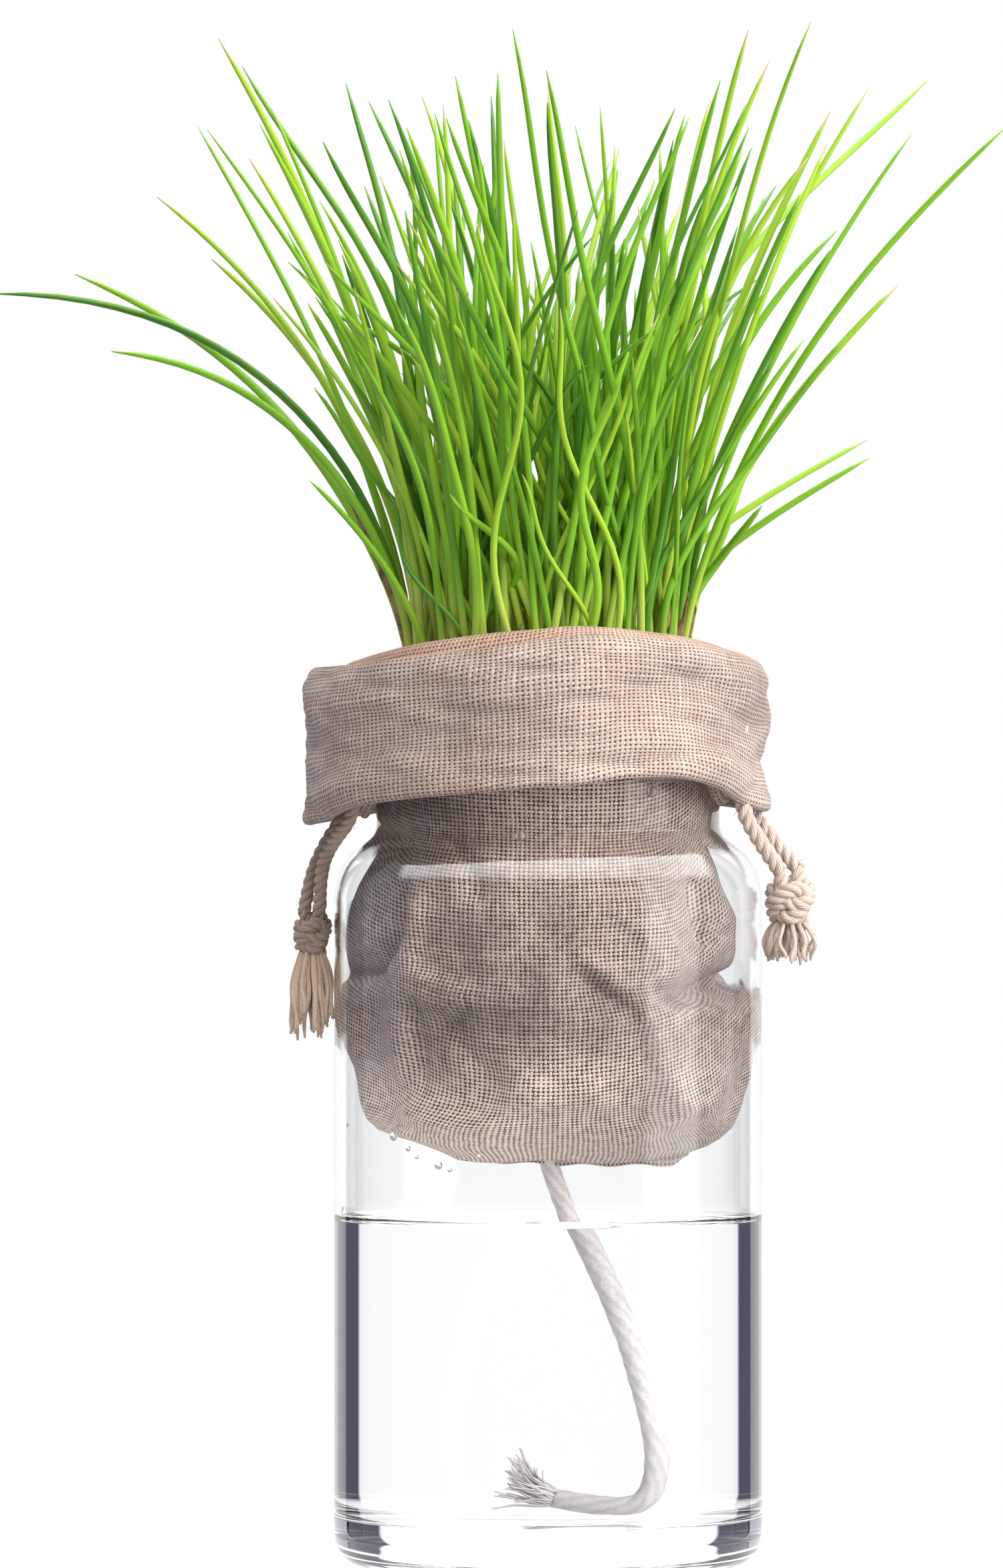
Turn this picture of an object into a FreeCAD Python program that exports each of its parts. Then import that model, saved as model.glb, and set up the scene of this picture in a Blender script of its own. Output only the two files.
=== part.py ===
import FreeCAD, Part

import math
import os
import random

import Sketcher
from FreeCAD import Placement, Rotation, Vector

# Driving sizes in millimetres. Each is a cell of the sheet under the same name.
SIZES = {
    # Glass jar
    "jar_radius": 48.0,
    "jar_wall": 1.3,
    "jar_floor": 11.5,
    "jar_heel_fillet": 7.0,
    "jar_floor_fillet": 8.0,
    "shoulder_base": 156.5,
    "shoulder_rise": 7.5,
    "shoulder_fillet": 15.0,
    "shoulder_step": 9.5,
    "neck_height": 36.0,
    "neck_wall": 2.0,
    "neck_fillet": 4.0,
    "rim_fillet": 0.9,
    # Water
    "air_gap": 16.0,
    "water_clearance": 0.1,
    # Linen bag
    "bag_clearance": 0.3,
    "bag_cloth": 1.2,
    "pouch_height": 71.0,
    "pouch_side_gap": 0.4,
    "pouch_bottom_inset": 12.8,
    "pouch_low_rise": 26.0,
    "pouch_bulge_rise": 22.0,
    "pouch_bulge_fillet": 14.0,
    "pouch_bottom_fillet": 9.0,
    "pouch_lining_gap": 0.9,
    "seam_thickness": 1.8,
    "seam_drop": 3.2,
    "seam_inset": 3.5,
    # Turned-down mouth of the bag
    "cuff_overhang": 13.0,
    "cuff_offset": 3.0,
    "cuff_rise": 6.0,
    "cuff_hem_rise": 7.0,
    "cuff_top_fillet": 5.4,
    "cuff_mouth_fillet": 5.0,
    "cuff_hem_fillet": 1.0,
    # Hem channel for the drawstrings
    "casing_height": 9.2,
    "casing_cloth": 0.6,
    "casing_slit": 12.0,
    # Drawstrings
    "cord_radius": 1.65,
    "cord_gap": 0.25,
    "cord_run_turn": 350.0,
    "left_knot_radius": 4.5,
    "left_knot_length": 9.6,
    "left_tassel_root": 3.3,
    "left_tassel_spread": 4.9,
    "left_tassel_length": 18.4,
    "right_knot_radius": 6.0,
    "right_knot_length": 11.0,
    "right_tassel_root": 4.0,
    "right_tassel_spread": 5.0,
    "right_tassel_length": 7.6,
    "knot_fillet": 2.6,
    "left_knot_seat": 1.0,
    "right_knot_seat": 1.9,
    "end_gap": 0.2,
    # Wick
    "wick_radius": 2.25,
    "wick_clearance": 0.35,
    "wick_brush_length": 10.0,
    "wick_brush_spread": 3.6,
    # Growing medium
    "soil_below_rim": 8.0,
    # Leaves
    "leaf_radius": 1.15,
    "leaf_bed_margin": 4.4,
    "leaf_reach": 150.0,
    "leaf_lean": 66.0,
    "leaf_seat_gap": 0.2,
    "husk_gap": 0.7,
}

# Places that several pieces share, as sums of named sizes.
NECK = "jar_radius - shoulder_step"
SHOULDER_TOP = "shoulder_base + shoulder_rise"
RIM = f"{SHOULDER_TOP} + neck_height"
NECK_CLOTH = f"{NECK} - neck_wall - bag_clearance"
BULGE = "jar_radius - jar_wall - pouch_side_gap"
POUCH_FOOT = f"{BULGE} - pouch_bottom_inset"
POUCH_BOTTOM = f"{SHOULDER_TOP} - pouch_height"
CUFF = f"{NECK} + cuff_overhang"
CUFF_HEM = f"{SHOULDER_TOP} + cuff_hem_rise"
CASING_BORE = f"{NECK} + bag_clearance"
CASING_LANE = "cord_radius + cord_radius + cord_gap + cord_gap"
LEAF_BED = f"{NECK_CLOTH} - bag_cloth - leaf_bed_margin"

# Routes of the free cords, chosen by hand, from the held end to the loose one.
ROUTES = {
    "wick_rope": [
        (-1.6, 1.5, 146.0),
        (-0.6, 0.6, 128.0),
        (-1.4, 1.2, 110.0),
        (-0.8, 0.6, 92.5),
        (4.2, 1.6, 79.0),
        (9.0, 2.6, 66.0),
        (13.2, 3.0, 52.5),
        (16.4, 2.6, 38.5),
        (18.9, 1.0, 24.5),
        (17.0, -1.4, 14.2),
        (8.0, -2.6, 14.4),
        (1.0, -2.4, 16.2),
    ],
    "left_strand_back": [
        (-45.9, 2.9, 188.6),
        (-45.7, 3.1, 182.0),
        (-45.9, 2.9, 175.5),
        (-45.8, 3.0, 168.0),
        (-50.2, 3.2, 161.5),
        (-53.3, 3.0, 154.5),
        (-54.8, 2.6, 146.4),
    ],
    "left_strand_front": [
        (-42.4, -17.8, 188.4),
        (-42.5, -17.6, 182.0),
        (-42.3, -17.8, 175.5),
        (-43.4, -17.9, 167.4),
        (-48.3, -11.1, 161.8),
        (-51.1, -4.4, 155.4),
        (-51.2, -0.6, 146.9),
    ],
    "right_strand_front": [
        (42.7, -16.1, 188.8),
        (42.9, -16.0, 182.0),
        (42.7, -16.2, 175.5),
        (43.4, -16.2, 168.2),
        (47.4, -14.8, 161.6),
        (51.7, -12.0, 155.6),
    ],
    "right_strand_back": [
        (45.8, -2.1, 188.5),
        (45.6, -2.2, 182.0),
        (45.8, -2.0, 175.5),
        (45.7, -2.1, 167.8),
        (50.7, -3.6, 162.0),
        (56.0, -6.4, 156.0),
    ],
}
ARC_SHARE = 0.45

# Rings of leaves, from the middle out: share of the bed's radius, and leaves in the ring.
RING_SHARES = [(0.23, 8), (0.43, 16), (0.62, 24), (0.81, 32), (1.0, 48)]
SECTORS = 8
RING_SWIRL = 9.0
LEAF_TAPER_SHARES = [
    (0.0, 1.0),
    (0.14, 0.97),
    (0.28, 0.92),
    (0.42, 0.86),
    (0.56, 0.77),
    (0.69, 0.65),
    (0.81, 0.5),
    (0.92, 0.31),
    (1.0, 0.1),
]
LEAF_CURVE = 1.6
SWOOP_CURVE = 2.0
ANGLE_JITTER_SHARE = 0.1
BED_JITTER_SHARE = 0.02
LEAN_JITTER_SHARE = 0.14
INNER_RISE_SHARES = (0.72, 1.06)
OUTER_RISE_SHARES = (0.42, 0.92)

# Outer leaves that give the clump its outline, by place in the outer ring: shares of the reach
# that the tip goes outward and upward, and the droop at the tip.
LEADING_SHARES = {
    0: (0.32, 0.63, 0.0),
    1: (0.28, 0.93, 0.0),
    2: (0.23, 0.90, 0.0),
    3: (0.15, 0.40, 0.0),
    19: (0.21, 0.96, 0.0),
    20: (0.36, 0.85, 0.0),
    21: (0.37, 0.69, 0.1),
    22: (0.42, 0.78, 0.1),
    23: (0.53, 0.66, 0.15),
    24: (0.63, 0.62, 0.34),
    25: (0.45, 0.53, 0.3),
    26: (0.30, 0.99, 0.0),
    27: (0.25, 0.86, 0.0),
    28: (0.20, 0.33, 0.0),
    44: (0.22, 0.75, 0.0),
    45: (0.26, 0.67, 0.0),
    46: (0.525, 0.85, 0.0),
    47: (0.12, 0.30, 0.0),
}

# Dry husks at the foot of the clump, between the two outer rings: place in the bed as an angle,
# and height as a share of the reach.
HUSK_SHARES = [(-32.0, 0.2), (-58.0, 0.12), (-142.0, 0.13), (168.0, 0.17), (75.0, 0.11)]
HUSK_LEAN_SHARE = 0.9
SEED = 7


def total(words):
    """Value of a sum of named sizes, such as "jar_radius - jar_wall"."""
    sign, value = 1, 0.0
    for word in words.split():
        if word in ("+", "-"):
            sign = 1 if word == "+" else -1
        else:
            value += sign * SIZES.get(word, 0.0)
    return value


def bound(words):
    """The same sum as an expression of the sheet's cells."""
    return " ".join(word if word in ("+", "-") else f"Sizes.{word}" for word in words.split())


def plane(body, role):
    """Origin plane of a body, by its role."""
    return next(item for item in body.Origin.OriginFeatures if item.Role == role)


def half_section(body, name, loops, axis_place=None):
    """Sketch on the body's upright plane with loops of corners, each bound to the sheet.

    A corner is a pair of sums, its distance from the axis and its height; "0" lies on an axis.
    With axis_place, the sketch also holds an upright construction line at that distance.
    """
    sketch = body.newObject("Sketcher::SketchObject", name)
    sketch.AttachmentSupport = [(plane(body, "XZ_Plane"), "")]
    sketch.MapMode = "FlatFace"
    for corners in loops:
        places = [Vector(total(across), total(up), 0) for across, up in corners]
        first = sketch.GeometryCount
        for index, place in enumerate(places):
            following = places[(index + 1) % len(places)]
            sketch.addGeometry(Part.LineSegment(place, following), False)
        for index in range(len(places)):
            following = first + (index + 1) % len(places)
            sketch.addConstraint(Sketcher.Constraint("Coincident", first + index, 2, following, 1))
        for index, (across, up) in enumerate(corners):
            pin_corner(sketch, first + index, across, up)
    if axis_place:
        top = total(RIM)
        place = total(axis_place)
        line = sketch.addGeometry(Part.LineSegment(Vector(place, 0, 0), Vector(place, top, 0)), True)
        sketch.addConstraint(Sketcher.Constraint("Vertical", line))
        pin_corner(sketch, line, axis_place, "0")
    return sketch


def pin_corner(sketch, line, across, up):
    """Holds the start of a sketch line at a distance and a height given by sums."""
    for words, kind, axis in ((across, "DistanceX", -2), (up, "DistanceY", -1)):
        if words == "0":
            sketch.addConstraint(Sketcher.Constraint("PointOnObject", line, 1, axis))
        else:
            rule = sketch.addConstraint(Sketcher.Constraint(kind, -1, 1, line, 1, total(words)))
            sketch.setExpression(f"Constraints[{rule}]", bound(words))


def turned(body, name, loops):
    """Solid of revolution about the body's upright axis."""
    sketch = half_section(body, name + "_section", loops)
    feature = body.newObject("PartDesign::Revolution", name)
    feature.Profile = sketch
    feature.ReferenceAxis = (sketch, ["V_Axis"])
    feature.Angle = 360
    doc.recompute()
    return feature


def grooved(body, name, loops, axis_place=None):
    """Ring cut from a body about its upright axis, or about a line beside it."""
    before = body.Shape.Volume
    sketch = half_section(body, name + "_section", loops, axis_place)
    feature = body.newObject("PartDesign::Groove", name)
    feature.Profile = sketch
    feature.ReferenceAxis = (sketch, ["Axis0" if axis_place else "V_Axis"])
    feature.Angle = 360
    doc.recompute()
    if not feature.Shape.Volume < before:
        raise RuntimeError(f"{name} cuts nothing")
    return feature


def rounded(body, base, name, radius, rings):
    """Fillet on the circular edges of a feature that have the given radii and heights."""
    names = []
    for across, up in rings:
        for number, edge in enumerate(base.Shape.Edges, 1):
            if not isinstance(edge.Curve, Part.Circle):
                continue
            near = abs(edge.Curve.Radius - total(across)) + abs(edge.Curve.Center.z - total(up))
            if near < 0.001 * SIZES["jar_radius"]:
                names.append(f"Edge{number}")
    feature = body.newObject("PartDesign::Fillet", name)
    feature.Base = (base, names)
    feature.setExpression("Radius", bound(radius))
    doc.recompute()
    return feature


def tube(route, radius):
    """Round tube along straight runs joined by tangent arcs, with the arcs' radii."""
    points = [Vector(*point) for point in route]
    edges, radii, start = [], [], points[0]
    for before, corner, after in zip(points, points[1:], points[2:]):
        run_in, run_out = corner - before, after - corner
        half_turn = run_in.getAngle(run_out) / 2
        cut = ARC_SHARE * min(run_in.Length, run_out.Length)
        bend = cut / math.tan(half_turn)
        run_in.normalize()
        run_out.normalize()
        inward = (run_out - run_in).normalize()
        middle = corner + inward * (bend / math.cos(half_turn) - bend)
        begin, end = corner - run_in * cut, corner + run_out * cut
        edges.append(Part.LineSegment(start, begin).toShape())
        edges.append(Part.Arc(begin, middle, end).toShape())
        radii.append(bend)
        start = end
    edges.append(Part.LineSegment(start, points[-1]).toShape())
    spine = Part.Wire(edges)
    ring = Part.Wire(Part.makeCircle(radius, points[0], points[1] - points[0]))
    solid = spine.makePipeShell([ring], True, False)
    print(
        f"tube of {spine.Length:.1f} mm, least arc {min(radii):.1f} mm,",
        f"volume over section times length {solid.Volume / (math.pi * radius**2 * spine.Length):.4f}",
    )
    return solid


def feature(name, shape, place=None):
    """Plain feature of the document for a shape that no other feature makes."""
    item = doc.addObject("Part::Feature", name)
    item.Shape = shape
    item.Placement = place or Placement()
    return item


def cut_from(name, base, tools):
    """Cut of a base by one or more tools."""
    tool = tools[0]
    if len(tools) > 1:
        tool = doc.addObject("Part::MultiFuse", name + "_tools")
        tool.Shapes = tools
    item = doc.addObject("Part::Cut", name)
    item.Base = base
    item.Tool = tool
    return item


def new_body(name):
    """Empty body of the document."""
    return doc.addObject("PartDesign::Body", name)


def make_jar():
    """Glass jar: thick floor, straight wall, rounded shoulder and neck."""
    body = new_body("glass_jar")
    turned_jar = turned(
        body,
        "jar_wall",
        [
            [
                ("0", "0"),
                ("jar_radius", "0"),
                ("jar_radius", "shoulder_base"),
                (NECK, SHOULDER_TOP),
                (NECK, RIM),
                (f"{NECK} - neck_wall", RIM),
                (f"{NECK} - neck_wall", SHOULDER_TOP),
                ("jar_radius - jar_wall", "shoulder_base"),
                ("jar_radius - jar_wall", "jar_floor"),
                ("0", "jar_floor"),
            ]
        ],
    )
    heel = rounded(body, turned_jar, "heel", "jar_heel_fillet", [("jar_radius", "0")])
    shoulder = rounded(
        body,
        heel,
        "shoulder",
        "shoulder_fillet",
        [("jar_radius", "shoulder_base"), ("jar_radius - jar_wall", "shoulder_base")],
    )
    neck = rounded(
        body,
        shoulder,
        "neck",
        "neck_fillet",
        [(NECK, SHOULDER_TOP), (f"{NECK} - neck_wall", SHOULDER_TOP)],
    )
    floor = rounded(
        body, neck, "floor", "jar_floor_fillet", [("jar_radius - jar_wall", "jar_floor")]
    )
    rounded(body, floor, "rim", "rim_fillet", [(NECK, RIM), (f"{NECK} - neck_wall", RIM)])
    return body


def make_water(wick_channel, brush_channel):
    """Water on the jar's floor, with the space that the wick takes."""
    body = new_body("water_fill")
    edge = "jar_radius - jar_wall - water_clearance"
    surface = f"{POUCH_BOTTOM} - air_gap"
    filled = turned(
        body,
        "water_level",
        [
            [
                ("0", "jar_floor + water_clearance"),
                (edge, "jar_floor + water_clearance"),
                (edge, surface),
                ("0", surface),
            ]
        ],
    )
    rounded(
        body, filled, "water_heel", "jar_floor_fillet", [(edge, "jar_floor + water_clearance")]
    )
    return cut_from("water", body, [wick_channel, brush_channel])


def bag_corners(inset, lift, top):
    """Half section of the bag's hanging part, drawn in by a sum and lifted by another."""
    return [
        ("0", POUCH_BOTTOM + lift),
        (POUCH_FOOT + inset, POUCH_BOTTOM + lift),
        (BULGE + inset, f"{POUCH_BOTTOM} + pouch_low_rise"),
        (BULGE + inset, f"{POUCH_BOTTOM} + pouch_low_rise + pouch_bulge_rise"),
        (NECK_CLOTH + inset, SHOULDER_TOP),
        *top,
    ]


def round_bag(body, base, name, inset, lift):
    """Rounds the belly and the bottom edge of a bag-shaped solid."""
    belly = rounded(
        body,
        base,
        name + "_belly",
        "pouch_bulge_fillet" + inset,
        [
            (BULGE + inset, f"{POUCH_BOTTOM} + pouch_low_rise + pouch_bulge_rise"),
            (BULGE + inset, f"{POUCH_BOTTOM} + pouch_low_rise"),
        ],
    )
    return rounded(
        body,
        belly,
        name + "_bottom",
        "pouch_bottom_fillet" + inset,
        [(POUCH_FOOT + inset, POUCH_BOTTOM + lift)],
    )


def make_pouch(wick_channel):
    """Hanging part of the bag: a cloth shell, open at the top and at the wick."""
    body = new_body("pouch_cloth")
    filled = turned(body, "pouch", [bag_corners("", "", [("0", SHOULDER_TOP)])])
    rounded_pouch = round_bag(body, filled, "pouch", "", "")
    top = total(SHOULDER_TOP)
    lid = next(
        number
        for number, face in enumerate(rounded_pouch.Shape.Faces, 1)
        if isinstance(face.Surface, Part.Plane) and abs(face.CenterOfMass.z - top) < 0.001
    )
    shell = body.newObject("PartDesign::Thickness", "pouch_hollow")
    shell.Base = (rounded_pouch, [f"Face{lid}"])
    shell.Reversed = True
    shell.setExpression("Value", bound("bag_cloth"))
    doc.recompute()
    return cut_from("bag_pouch", body, [wick_channel])


def make_soil(wick_channel):
    """Growing medium that fills the bag, up to just under the rim."""
    body = new_body("soil_fill")
    inset = " - bag_cloth - pouch_lining_gap"
    soil_top = f"{RIM} - soil_below_rim"
    top = [(NECK_CLOTH + inset, soil_top), ("0", soil_top)]
    filled = turned(body, "soil", [bag_corners(inset, " + bag_cloth + pouch_lining_gap", top)])
    round_bag(body, filled, "soil", inset, " + bag_cloth + pouch_lining_gap")
    return cut_from("growing_medium", body, [wick_channel])


def make_seam(wick_channel):
    """Sewn lower edge of the bag, a flat flap under the pouch, open at the wick."""
    flap = doc.addObject("Part::Box", "seam_flap")
    reach = bound(f"{POUCH_FOOT} - seam_inset")
    flap.setExpression("Length", f"2 * ({reach})")
    flap.setExpression("Width", "Sizes.seam_thickness")
    flap.setExpression("Height", "Sizes.seam_drop")
    flap.setExpression("Placement.Base.x", f"-({reach})")
    flap.setExpression("Placement.Base.y", "-Sizes.seam_thickness / 2")
    low = bound(f"{POUCH_BOTTOM} - seam_drop - water_clearance")
    flap.setExpression("Placement.Base.z", low)
    return cut_from("bag_bottom_seam", flap, [wick_channel])


def make_casing():
    """Hem channel round the neck that the drawstrings run in, with a slit at each side."""
    outside = f"{CASING_BORE} + {CASING_LANE} + casing_cloth + casing_cloth"
    body = new_body("casing_ring")
    turned(
        body,
        "casing",
        [
            [
                (CASING_BORE, CUFF_HEM),
                (outside, CUFF_HEM),
                (outside, f"{CUFF_HEM} + casing_height"),
                (CASING_BORE, f"{CUFF_HEM} + casing_height"),
            ],
            [
                (f"{CASING_BORE} + casing_cloth", f"{CUFF_HEM} + casing_cloth"),
                (f"{outside} - casing_cloth", f"{CUFF_HEM} + casing_cloth"),
                (f"{outside} - casing_cloth", f"{CUFF_HEM} + casing_height - casing_cloth"),
                (f"{CASING_BORE} + casing_cloth", f"{CUFF_HEM} + casing_height - casing_cloth"),
            ],
        ],
    )
    slits = []
    for name, turn in (("left_slit", 180), ("right_slit", 0)):
        slit = doc.addObject("Part::Box", name)
        slit.setExpression("Length", "Sizes.cord_radius + Sizes.casing_cloth")
        slit.setExpression("Width", "Sizes.casing_slit")
        slit.setExpression("Height", "Sizes.casing_height - 2 * Sizes.casing_cloth")
        low = bound(f"{CUFF_HEM} + casing_cloth")
        out = bound(f"{CASING_BORE} + {CASING_LANE} + casing_cloth - cord_radius")
        side = "" if turn == 0 else "-"
        slit.Placement = Placement(Vector(), Rotation(Vector(0, 0, 1), turn))
        slit.setExpression("Placement.Base.x", f"{side}({out})")
        slit.setExpression("Placement.Base.y", f"{'-' if turn == 0 else ''}Sizes.casing_slit / 2")
        slit.setExpression("Placement.Base.z", low)
        slits.append(slit)
    return cut_from("drawstring_casing", body, slits)


def make_cord_run(name, words, turn):
    """Hidden loop of a drawstring in its channel, open at its own slit."""
    ring = doc.addObject("Part::Torus", name)
    ring.setExpression("Radius1", bound(f"{CASING_BORE} + casing_cloth + cord_gap + cord_radius"))
    ring.setExpression("Radius2", "Sizes.cord_radius")
    ring.setExpression("Angle3", "Sizes.cord_run_turn")
    gap = (360 - SIZES["cord_run_turn"]) / 2
    ring.Placement = Placement(Vector(), Rotation(Vector(0, 0, 1), turn + gap))
    ring.setExpression("Placement.Base.z", bound(f"{CUFF_HEM} + casing_cloth + {words}"))
    return ring


def make_cuff():
    """Turned-down mouth of the bag, over the rim and down outside the neck."""
    body = new_body("cuff_cloth")
    body.setExpression("Placement.Base.x", "-Sizes.cuff_offset")
    top = f"{RIM} + cuff_rise"
    roll = turned(
        body,
        "cuff",
        [[("0", CUFF_HEM), (CUFF, CUFF_HEM), (CUFF, top), ("0", top)]],
    )
    rounded_roll = rounded(body, roll, "cuff_roll", "cuff_top_fillet", [(CUFF, top)])
    rounded(body, rounded_roll, "cuff_hem", "cuff_hem_fillet", [(CUFF, CUFF_HEM)])
    casing_top = f"{CUFF_HEM} + casing_height + cord_gap"
    casing_side = f"{CASING_BORE} + {CASING_LANE} + casing_cloth + casing_cloth + cord_gap"
    neck_top = f"{RIM} + bag_clearance"
    axis = "cuff_offset"
    grooved(
        body,
        "cuff_inside",
        [
            [
                (f"{axis} + {casing_side}", CUFF_HEM),
                (f"{axis} + {casing_side}", casing_top),
                (f"{axis} + {CASING_BORE}", casing_top),
                (f"{axis} + {CASING_BORE}", neck_top),
                (f"{axis} + {NECK_CLOTH}", neck_top),
                (f"{axis} + {NECK_CLOTH}", CUFF_HEM),
            ],
        ],
        axis,
    )
    mouth = grooved(
        body,
        "cuff_mouth",
        [
            [
                (axis, CUFF_HEM),
                (f"{axis} + {NECK_CLOTH} - bag_cloth", CUFF_HEM),
                (f"{axis} + {NECK_CLOTH} - bag_cloth", top),
                (axis, top),
            ]
        ],
        axis,
    )
    rounded(
        body, mouth, "cuff_lip", "cuff_mouth_fillet", [(f"{NECK_CLOTH} - bag_cloth", top)]
    )
    sleeves = []
    for name, route in ROUTES.items():
        if "strand" not in name:
            continue
        sleeve = doc.addObject("Part::Cylinder", name + "_sleeve")
        sleeve.setExpression("Radius", "Sizes.cord_radius + 2 * Sizes.cord_gap")
        sleeve.Height = route[0][2] + SIZES["cord_gap"]
        sleeve.Placement.Base = Vector(route[1][0], route[1][1], 0)
        sleeves.append(sleeve)
    return cut_from("bag_cuff", body, sleeves)


def make_barrel(name, radius, length, place):
    """Round-edged barrel that hangs from its top centre: a knot."""
    body = new_body(name)
    barrel = turned(
        body, name + "_barrel", [[("0", "0"), (radius, "0"), (radius, length), ("0", length)]]
    )
    rounded(body, barrel, name + "_round", "knot_fillet", [(radius, "0"), (radius, length)])
    body.Placement.Base = place - Vector(0, 0, total(length))
    return body


def make_tassel(name, root, spread, length, place):
    """Frayed end of a drawstring: a round bundle that widens away from the knot."""
    cone = doc.addObject("Part::Cone", name)
    cone.setExpression("Radius1", bound(root))
    cone.setExpression("Radius2", bound(spread))
    cone.setExpression("Height", bound(length))
    cone.Placement = Placement(place, Rotation(Vector(0, 1, 0), 180))
    return cone


def make_drawstring(side):
    """One drawstring's ends: two strands, the knot that joins them and its tassel."""
    strands = [name for name in ROUTES if name.startswith(side + "_strand")]
    made = {name: feature(name, tube(ROUTES[name], SIZES["cord_radius"])) for name in strands}
    ends = [Vector(*ROUTES[name][-1]) for name in strands]
    top = (ends[0] + ends[1]) / 2 - Vector(0, 0, SIZES[f"{side}_knot_seat"])
    knot, tassel = f"{side}_knot", f"{side}_tassel"
    made[knot] = make_barrel(knot, f"{knot}_radius", f"{knot}_length", top)
    tail = top - Vector(0, 0, total(f"{knot}_length + end_gap"))
    made[tassel] = make_tassel(
        tassel, f"{tassel}_root", f"{tassel}_spread", f"{tassel}_length", tail
    )
    return made


def make_brush(name, swell):
    """Brushed-out end of the wick, a round bundle that widens along the floor."""
    route = ROUTES["wick_rope"]
    end, before = Vector(*route[-1]), Vector(*route[-2])
    heading = (end - before).normalize()
    brush = doc.addObject("Part::Cone", name)
    brush.setExpression("Radius1", bound("wick_radius" + swell))
    brush.setExpression("Radius2", bound("wick_brush_spread" + swell))
    brush.setExpression("Height", bound("wick_brush_length" + swell))
    place = end if swell else end + heading * SIZES["end_gap"]
    brush.Placement = Placement(place, Rotation(Vector(0, 0, 1), heading))
    return brush


def leaf_solid(bed, angle, swirl, lean, rise, droop, curve, thickness):
    """Tapered round leaf, in straight stretches through circles along its curved line.

    Its line starts upright in the bed, leans outward as a power of its length, turns about the
    clump's axis with its height and bends over at the tip by the droop.
    """
    floor = total(f"{RIM} - soil_below_rim + leaf_seat_gap")

    def point(part):
        height = rise * (part - droop * part**3)
        across = bed + lean * part**curve
        turn = angle + math.radians(swirl) * height / SIZES["leaf_reach"]
        return Vector(across * math.cos(turn), across * math.sin(turn), floor + height)

    sideways = Vector(-math.sin(angle), math.cos(angle), 0)
    rings = []
    for part, share in LEAF_TAPER_SHARES:
        near = 0.01
        along = point(min(part + near, 1)) - point(max(part - near, 0))
        if part == 0:
            along = Vector(0, 0, 1)
        ring = Part.makeCircle(thickness * share)
        ring.Placement = Placement(point(part), Rotation(sideways, Vector(), along, "ZXY"))
        rings.append(Part.Wire(ring))
    return Part.makeLoft(rings, True, True)


def make_leaves():
    """Chive leaves in rings, grouped by the eighth of the bed that they grow from."""
    chance = random.Random(SEED)
    reach = SIZES["leaf_reach"]
    groups = [[] for _ in range(SECTORS)]
    for ring, (bed_share, count) in enumerate(RING_SHARES):
        outer = ring == len(RING_SHARES) - 1
        swirl = RING_SWIRL if ring % 2 else -RING_SWIRL
        ring_lean = SIZES["leaf_lean"] * bed_share
        low, high = OUTER_RISE_SHARES if outer else INNER_RISE_SHARES
        for index in range(count):
            step = 2 * math.pi / count
            angle = step * (index + 0.5 + chance.uniform(-1, 1) * ANGLE_JITTER_SHARE)
            bed = total(LEAF_BED) * (bed_share - chance.uniform(0, 1) * BED_JITTER_SHARE)
            rise = reach * chance.uniform(low, high)
            wide = 1 + chance.uniform(-1, 1) * LEAN_JITTER_SHARE
            lean = ring_lean * wide * (rise / reach) ** LEAF_CURVE
            droop, curve = 0.0, LEAF_CURVE
            if outer and index in LEADING_SHARES:
                lean_share, rise_share, droop = LEADING_SHARES[index]
                lean, rise, curve = reach * lean_share, reach * rise_share, SWOOP_CURVE
            rise = rise / (1 - droop)
            leaf = leaf_solid(bed, angle, swirl, lean, rise, droop, curve, SIZES["leaf_radius"])
            groups[index * SECTORS // count].append(leaf)
    return [
        feature(f"chive_clump_{number}", Part.makeCompound(leaves))
        for number, leaves in enumerate(groups, 1)
    ]


def make_husks():
    """Dry husks of old leaves, as thick as the space between the two outer rings lets them be."""
    inner_ring, outer_ring = (share * total(LEAF_BED) for share, count in RING_SHARES[-2:])
    husk_bed = (outer_ring + inner_ring) / 2
    thickness = (outer_ring - inner_ring) / 2 - total("leaf_radius + husk_gap")
    husks = []
    for angle, rise_share in HUSK_SHARES:
        rise = SIZES["leaf_reach"] * rise_share
        husks.append(
            leaf_solid(
                husk_bed,
                math.radians(angle),
                0.0,
                SIZES["leaf_lean"] * HUSK_LEAN_SHARE * rise_share**LEAF_CURVE,
                rise,
                0.0,
                LEAF_CURVE,
                thickness,
            )
        )
    return feature("withered_leaves", Part.makeCompound(husks))


doc = FreeCAD.newDocument("jar_planter")
sheet = doc.addObject("Spreadsheet::Sheet", "Sizes")
for row, (alias, value) in enumerate(SIZES.items(), 1):
    sheet.set(f"A{row}", alias)
    sheet.set(f"B{row}", str(value))
    sheet.setAlias(f"B{row}", alias)
doc.recompute()

nodes = {}
wick = ROUTES["wick_rope"]
nodes["wick_rope"] = feature("wick_rope", tube(wick, SIZES["wick_radius"]))
channel = feature("wick_channel", tube(wick, total("wick_radius + wick_clearance")))
nodes["wick_frayed_end"] = make_brush("wick_frayed_end", "")
brush_channel = make_brush("brush_channel", " + wick_clearance")
nodes["glass_jar"] = make_jar()
nodes["water"] = make_water(channel, brush_channel)
nodes["bag_pouch"] = make_pouch(channel)
nodes["growing_medium"] = make_soil(channel)
nodes["bag_bottom_seam"] = make_seam(channel)
nodes["drawstring_casing"] = make_casing()
nodes["bag_cuff"] = make_cuff()
low_lane = "cord_gap + cord_radius"
high_lane = "cord_gap + cord_radius + cord_radius + cord_gap + cord_radius"
nodes["left_cord_run"] = make_cord_run("left_cord_run", low_lane, 180)
nodes["right_cord_run"] = make_cord_run("right_cord_run", high_lane, 0)
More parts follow.
